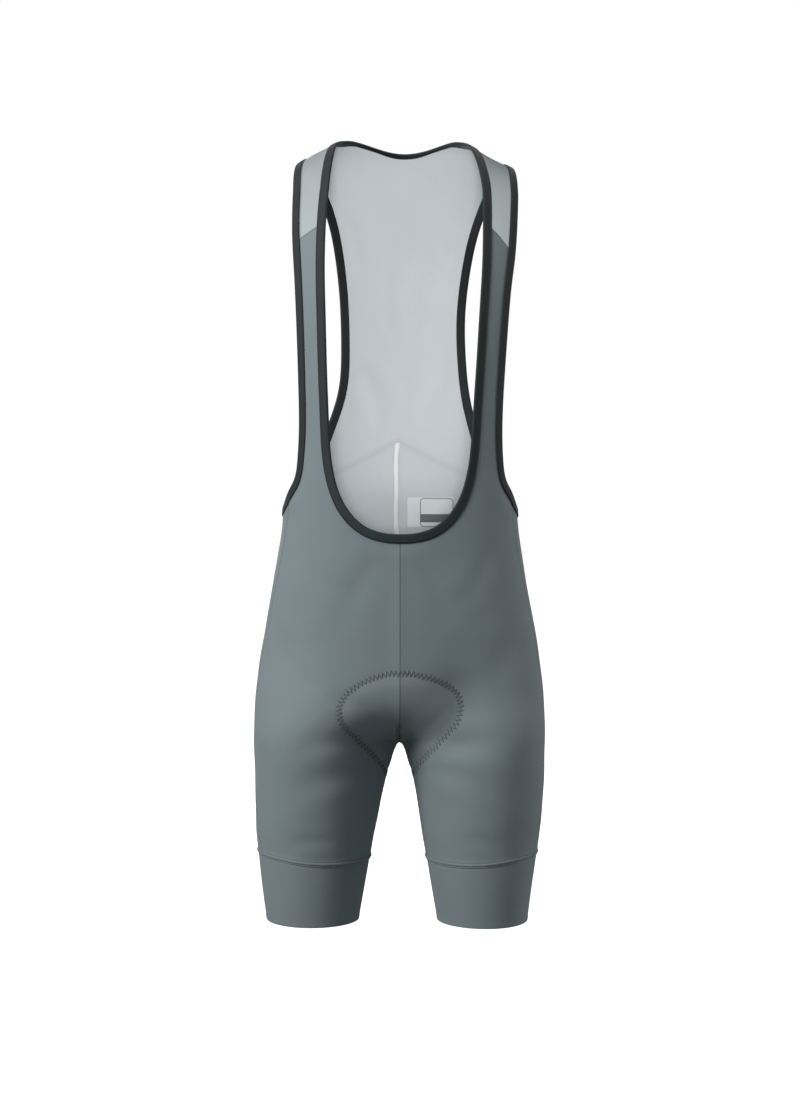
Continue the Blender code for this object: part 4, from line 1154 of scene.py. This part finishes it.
def skinFaces(rows, columns):  # an upper and a lower skin, joined round the rim
    index = np.arange(rows * columns).reshape(rows, columns)
    quads = np.stack([index[:-1, :-1], index[:-1, 1:], index[1:, 1:], index[1:, :-1]], -1).reshape(-1, 4)
    rim = np.concatenate([index[0, :-1], index[:-1, -1], index[-1, :0:-1], index[:0:-1, 0]])
    ahead = np.roll(rim, -1)
    sides = np.stack([ahead, rim, rim + index.size, ahead + index.size], -1)
    return np.vstack([quads, quads[:, ::-1] + index.size, sides])


def makePad():
    shares, side, lofts = padGrid(110, 34)
    outer = np.concatenate([side[:, :0:-1] * mirror, side], 1)
    normals = outward(outer)
    across = np.linspace(-1, 1, outer.shape[1])
    loft = padLook["loft"] * np.clip(lofts, 0, 1)[:, None]
    share = shares[:, None]
    grooveWidth, grooveDepth = padLook["groove"]
    wingPlace, wingWidth, wingDepth = padLook["wings"]
    groove = np.exp(-(across / grooveWidth) ** 2) * ease((share - 0.16) / 0.1) * ease((0.9 - share) / 0.1)
    wing = np.exp(-((np.abs(across) - wingPlace) / wingWidth) ** 2)
    wing = wing * ease((share - 0.45) / 0.1) * ease((0.92 - share) / 0.1)
    thick = padLook["edge"] + loft * (1 - across ** 2 - grooveDepth * groove - wingDepth * wing)
    arch = np.exp(-(outer[..., 0] / 0.022) ** 2 - (outer[..., 1] / 0.055) ** 2)
    flat = outer.reshape(-1, 3)
    gap = padLook["gap"] + padLook["arch"] * arch
    gap = gap - np.minimum(creaseLift(flat) + crotchPinch(flat), 0).reshape(gap.shape)
    outer = outer + hollowMove(flat).reshape(outer.shape)
    skins = [outer - normals * depth[..., None] for depth in (gap, gap + thick)]
    points = np.vstack([skin.reshape(-1, 3) for skin in skins])
    facing = np.vstack([normals.reshape(-1, 3), -normals.reshape(-1, 3)])
    rowRun = runOf(padMiddle())[-1] * share + 0 * outer[..., 0]
    cloth = np.tile(np.stack([outer[..., 0], rowRun], -1).reshape(-1, 2), (2, 1))
    return makeMesh("seatPad", points, skinFaces(*gap.shape), facing, cloth, [padMaterial()])


add("seatPad", makePad(), "seat_pad")

# Tape over the centre back seam and the printed patch, both inside
tape = {"half": 0.0027, "wall": 0.0008, "colour": (0.63, 0.635, 0.64), "rows": 120, "columns": 7}


def innerPatch(name, x, z, wall, material):
    flat = bodyFace(x, z, 1).reshape(-1, 3)
    normals = outward(flat)
    base = dress(flat, normals)[0] - normals * (clothWall + 0.00002)
    points = np.vstack([base, base - normals * wall.reshape(-1, 1)])
    cloth = np.tile(np.stack([x, z], -1).reshape(-1, 2), (2, 1))
    return makeMesh(name, points, skinFaces(*x.shape), np.vstack([normals, -normals]), cloth, [material])


def tapeMaterial():
    material, tree, shader = newMaterial("woven tape", tape["colour"], 0.75, 0.2)
    height = knitHeight(tree, 0.0008, 0.0010)
    finish(tree, shader, mottled(tree, tape["colour"], 0.04, 60.0), (height, 0.00015, 0.5))
    return material


def makeTape():
    top, bottom = backPeak - 0.001, padShape["back"] + 0.004
    across, z = np.meshgrid(np.linspace(-1, 1, tape["columns"]), np.linspace(bottom, top, tape["rows"]))
    sway = 0.0005 * np.sin(z * 95) + 0.0004 * np.sin(z * 41 + 1)
    x = sway + across * tape["half"] * (1 + 0.08 * np.sin(z * 260))
    wall = tape["wall"] * (1 - 0.55 * across ** 4) * (1 + 0.15 * np.sin(z * 700))
    return innerPatch("seamTape", x, z, wall, tapeMaterial())


add("seamTape", makeTape(), "back_seam_tape")

# Printed patch: a rounded frame with one bar, on a paler ground
patch = {
    "across": (0.0122, 0.0660), "heights": (-0.4262, -0.3885), "rows": 16, "columns": 24, "wall": 0.00008,
    "frame": {"at": (0.0460, -0.4073), "half": (0.0180, 0.0165), "corner": 0.0038, "line": 0.0005},
    "bar": {"at": -0.4141, "half": 0.0049},
    "ground": (0.51, 0.553, 0.565), "ink": (0.085, 0.093, 0.097, 1),
}


def patchMaterial():
    material, tree, shader = newMaterial("printed patch", patch["ground"], 0.55)
    shape, bar = patch["frame"], patch["bar"]
    places = clothPlace(tree)
    past = [abs(places[i] - shape["at"][i]) - (shape["half"][i] - shape["corner"]) for i in range(2)]
    over = [distance.maths("MAXIMUM", 0.0) for distance in past]
    corner = (over[0] * over[0] + over[1] * over[1]).maths("SQRT")
    edge = corner + past[0].maths("MAXIMUM", past[1]).maths("MINIMUM", 0.0) - shape["corner"]
    inBar = abs(places[1] - bar["at"]).maths("LESS_THAN", bar["half"]) * edge.maths("LESS_THAN", 0.0)
    ink = edge.bell(shape["line"]).maths("MAXIMUM", inBar)
    colour = mixed(tree, ink, mottled(tree, patch["ground"], 0.03, 30.0), patch["ink"])
    finish(tree, shader, colour, (ink, 0.0001, 0.3))
    return material


def makePatch():
    across = np.linspace(*patch["across"], patch["columns"])
    x, z = np.meshgrid(across, np.linspace(*patch["heights"], patch["rows"]))
    return innerPatch("careLabel", x, z, np.full(x.shape, patch["wall"]), patchMaterial())


add("careLabel", makePatch(), "size_label")
print("pad, tape and patch laid inside")

# Cut sizes of the relaxed cloth: width, length, flat area
cuts = {
    "frontPanel": (0.190, 0.770, 0.075),
    "sidePanel": (0.100, 0.400, 0.026),
    "backPanel": (0.190, 0.480, 0.070),
    "legBand": (0.330, 0.069, 0.0227),
    "racerBack": (0.290, 0.500, 0.068),
    "armBinding": (0.021, 0.860, 0.0170),
    "neckBinding": (0.021, 1.130, 0.0230),
}
for name, piece in pieces.items():
    part = name.replace("Left", "").replace("Right", "")
    if part in cuts:
        held = "folded" if "Binding" in part else "stretched"
        sewnOn = [pieces["seamTape"], pieces["careLabel"]] if name == "backPanelLeft" else []

# Plain pale floor under a white surround
studio = {"floor": -0.93, "reach": 40.0, "white": 1.0, "surround": 0.22}


def makeStage():
    reach = studio["reach"]
    corners = [(-reach, -reach), (reach, -reach), (reach, reach), (-reach, reach)]
    points = np.array([(x, y, studio["floor"]) for x, y in corners])
    material, _, shader = newMaterial("studio paper", (0.9, 0.9, 0.9), 0.9)
    shader.inputs["Emission Color"].default_value = (1, 1, 1, 1)
    shader.inputs["Emission Strength"].default_value = studio["white"]
    up = np.array([(0, 0, 1)] * 4)
    paper = makeMesh("studioPaper", points, [(0, 1, 2, 3)], up, points[:, :2], [material])
    paper.visible_diffuse = False
    paper.visible_glossy = False


makeStage()


def lightGroup(name, chosen):
    group = bpy.data.collections.new(name)
    for piece in chosen:
        group.objects.link(pieces[piece])
    return group


throughNeck = ("racerBack", "backPanelLeft", "backPanelRight", "seamTape", "careLabel")
lining = lightGroup("lining", throughNeck)
outerPieces = lightGroup("outer pieces", [name for name in pieces if name not in throughNeck])
belowShoulders = lightGroup("below shoulders", [name for name in pieces if name != "racerBack"])

# place, size, power, aim, pieces lit
lamps = {
    "key": ((-1.9, -1.6, 0.6), 1.2, 66, (0, 0, -0.45), outerPieces),
    "keyBehind": ((-2.1, -0.05, 0.60), 1.2, 31, (0, 0, -0.35), lining),
    "throat": ((0.0, -2.0, -0.42), 0.4, 31, (0, 0, -0.25), lining),
    "below": ((0.0, -1.4, -0.90), 0.7, 15, (0, 0.1, -0.05), lining),
    "rim": ((2.1, 0.25, 0.1), 1.4, 16, (0, 0, -0.45), belowShoulders),
    "top": ((-0.2, -0.6, 1.6), 1.2, 14, (0, 0, -0.45), outerPieces),
    "rear": ((-0.6, 1.9, 0.5), 1.6, 14, (0, 0, -0.45), None),
}
for name, (place, size, power, aim, lit) in lamps.items():
    data = bpy.data.lights.new(name, "AREA")
    data.shape = "DISK"
    data.size = size
    data.energy = power
    lamp = bpy.data.objects.new(name, data)
    lamp.location = place
    lamp.rotation_euler = (Vector(aim) - Vector(place)).to_track_quat("-Z", "Y").to_euler()
    bpy.context.collection.objects.link(lamp)
    if lit:
        lamp.light_linking.receiver_collection = lit

world = bpy.data.worlds.new("studio")
world.use_nodes = True
worldTree = world.node_tree
surround = worldTree.nodes["Background"]
surround.inputs[0].default_value = (0.95, 0.98, 1.0, 1)
surround.inputs[1].default_value = studio["surround"]
seen = addNode(worldTree, "ShaderNodeBackground", i0=(1, 1, 1, 1), i1=studio["white"])
way = addNode(worldTree, "ShaderNodeLightPath").outputs["Is Camera Ray"]
either = addNode(worldTree, "ShaderNodeMixShader", i0=way, i1=surround.outputs[0], i2=seen.outputs[0])
worldTree.links.new(either.outputs[0], worldTree.nodes["World Output"].inputs[0])
bpy.context.scene.world = world
bpy.context.scene.view_settings.view_transform = "Standard"
print("studio lit")
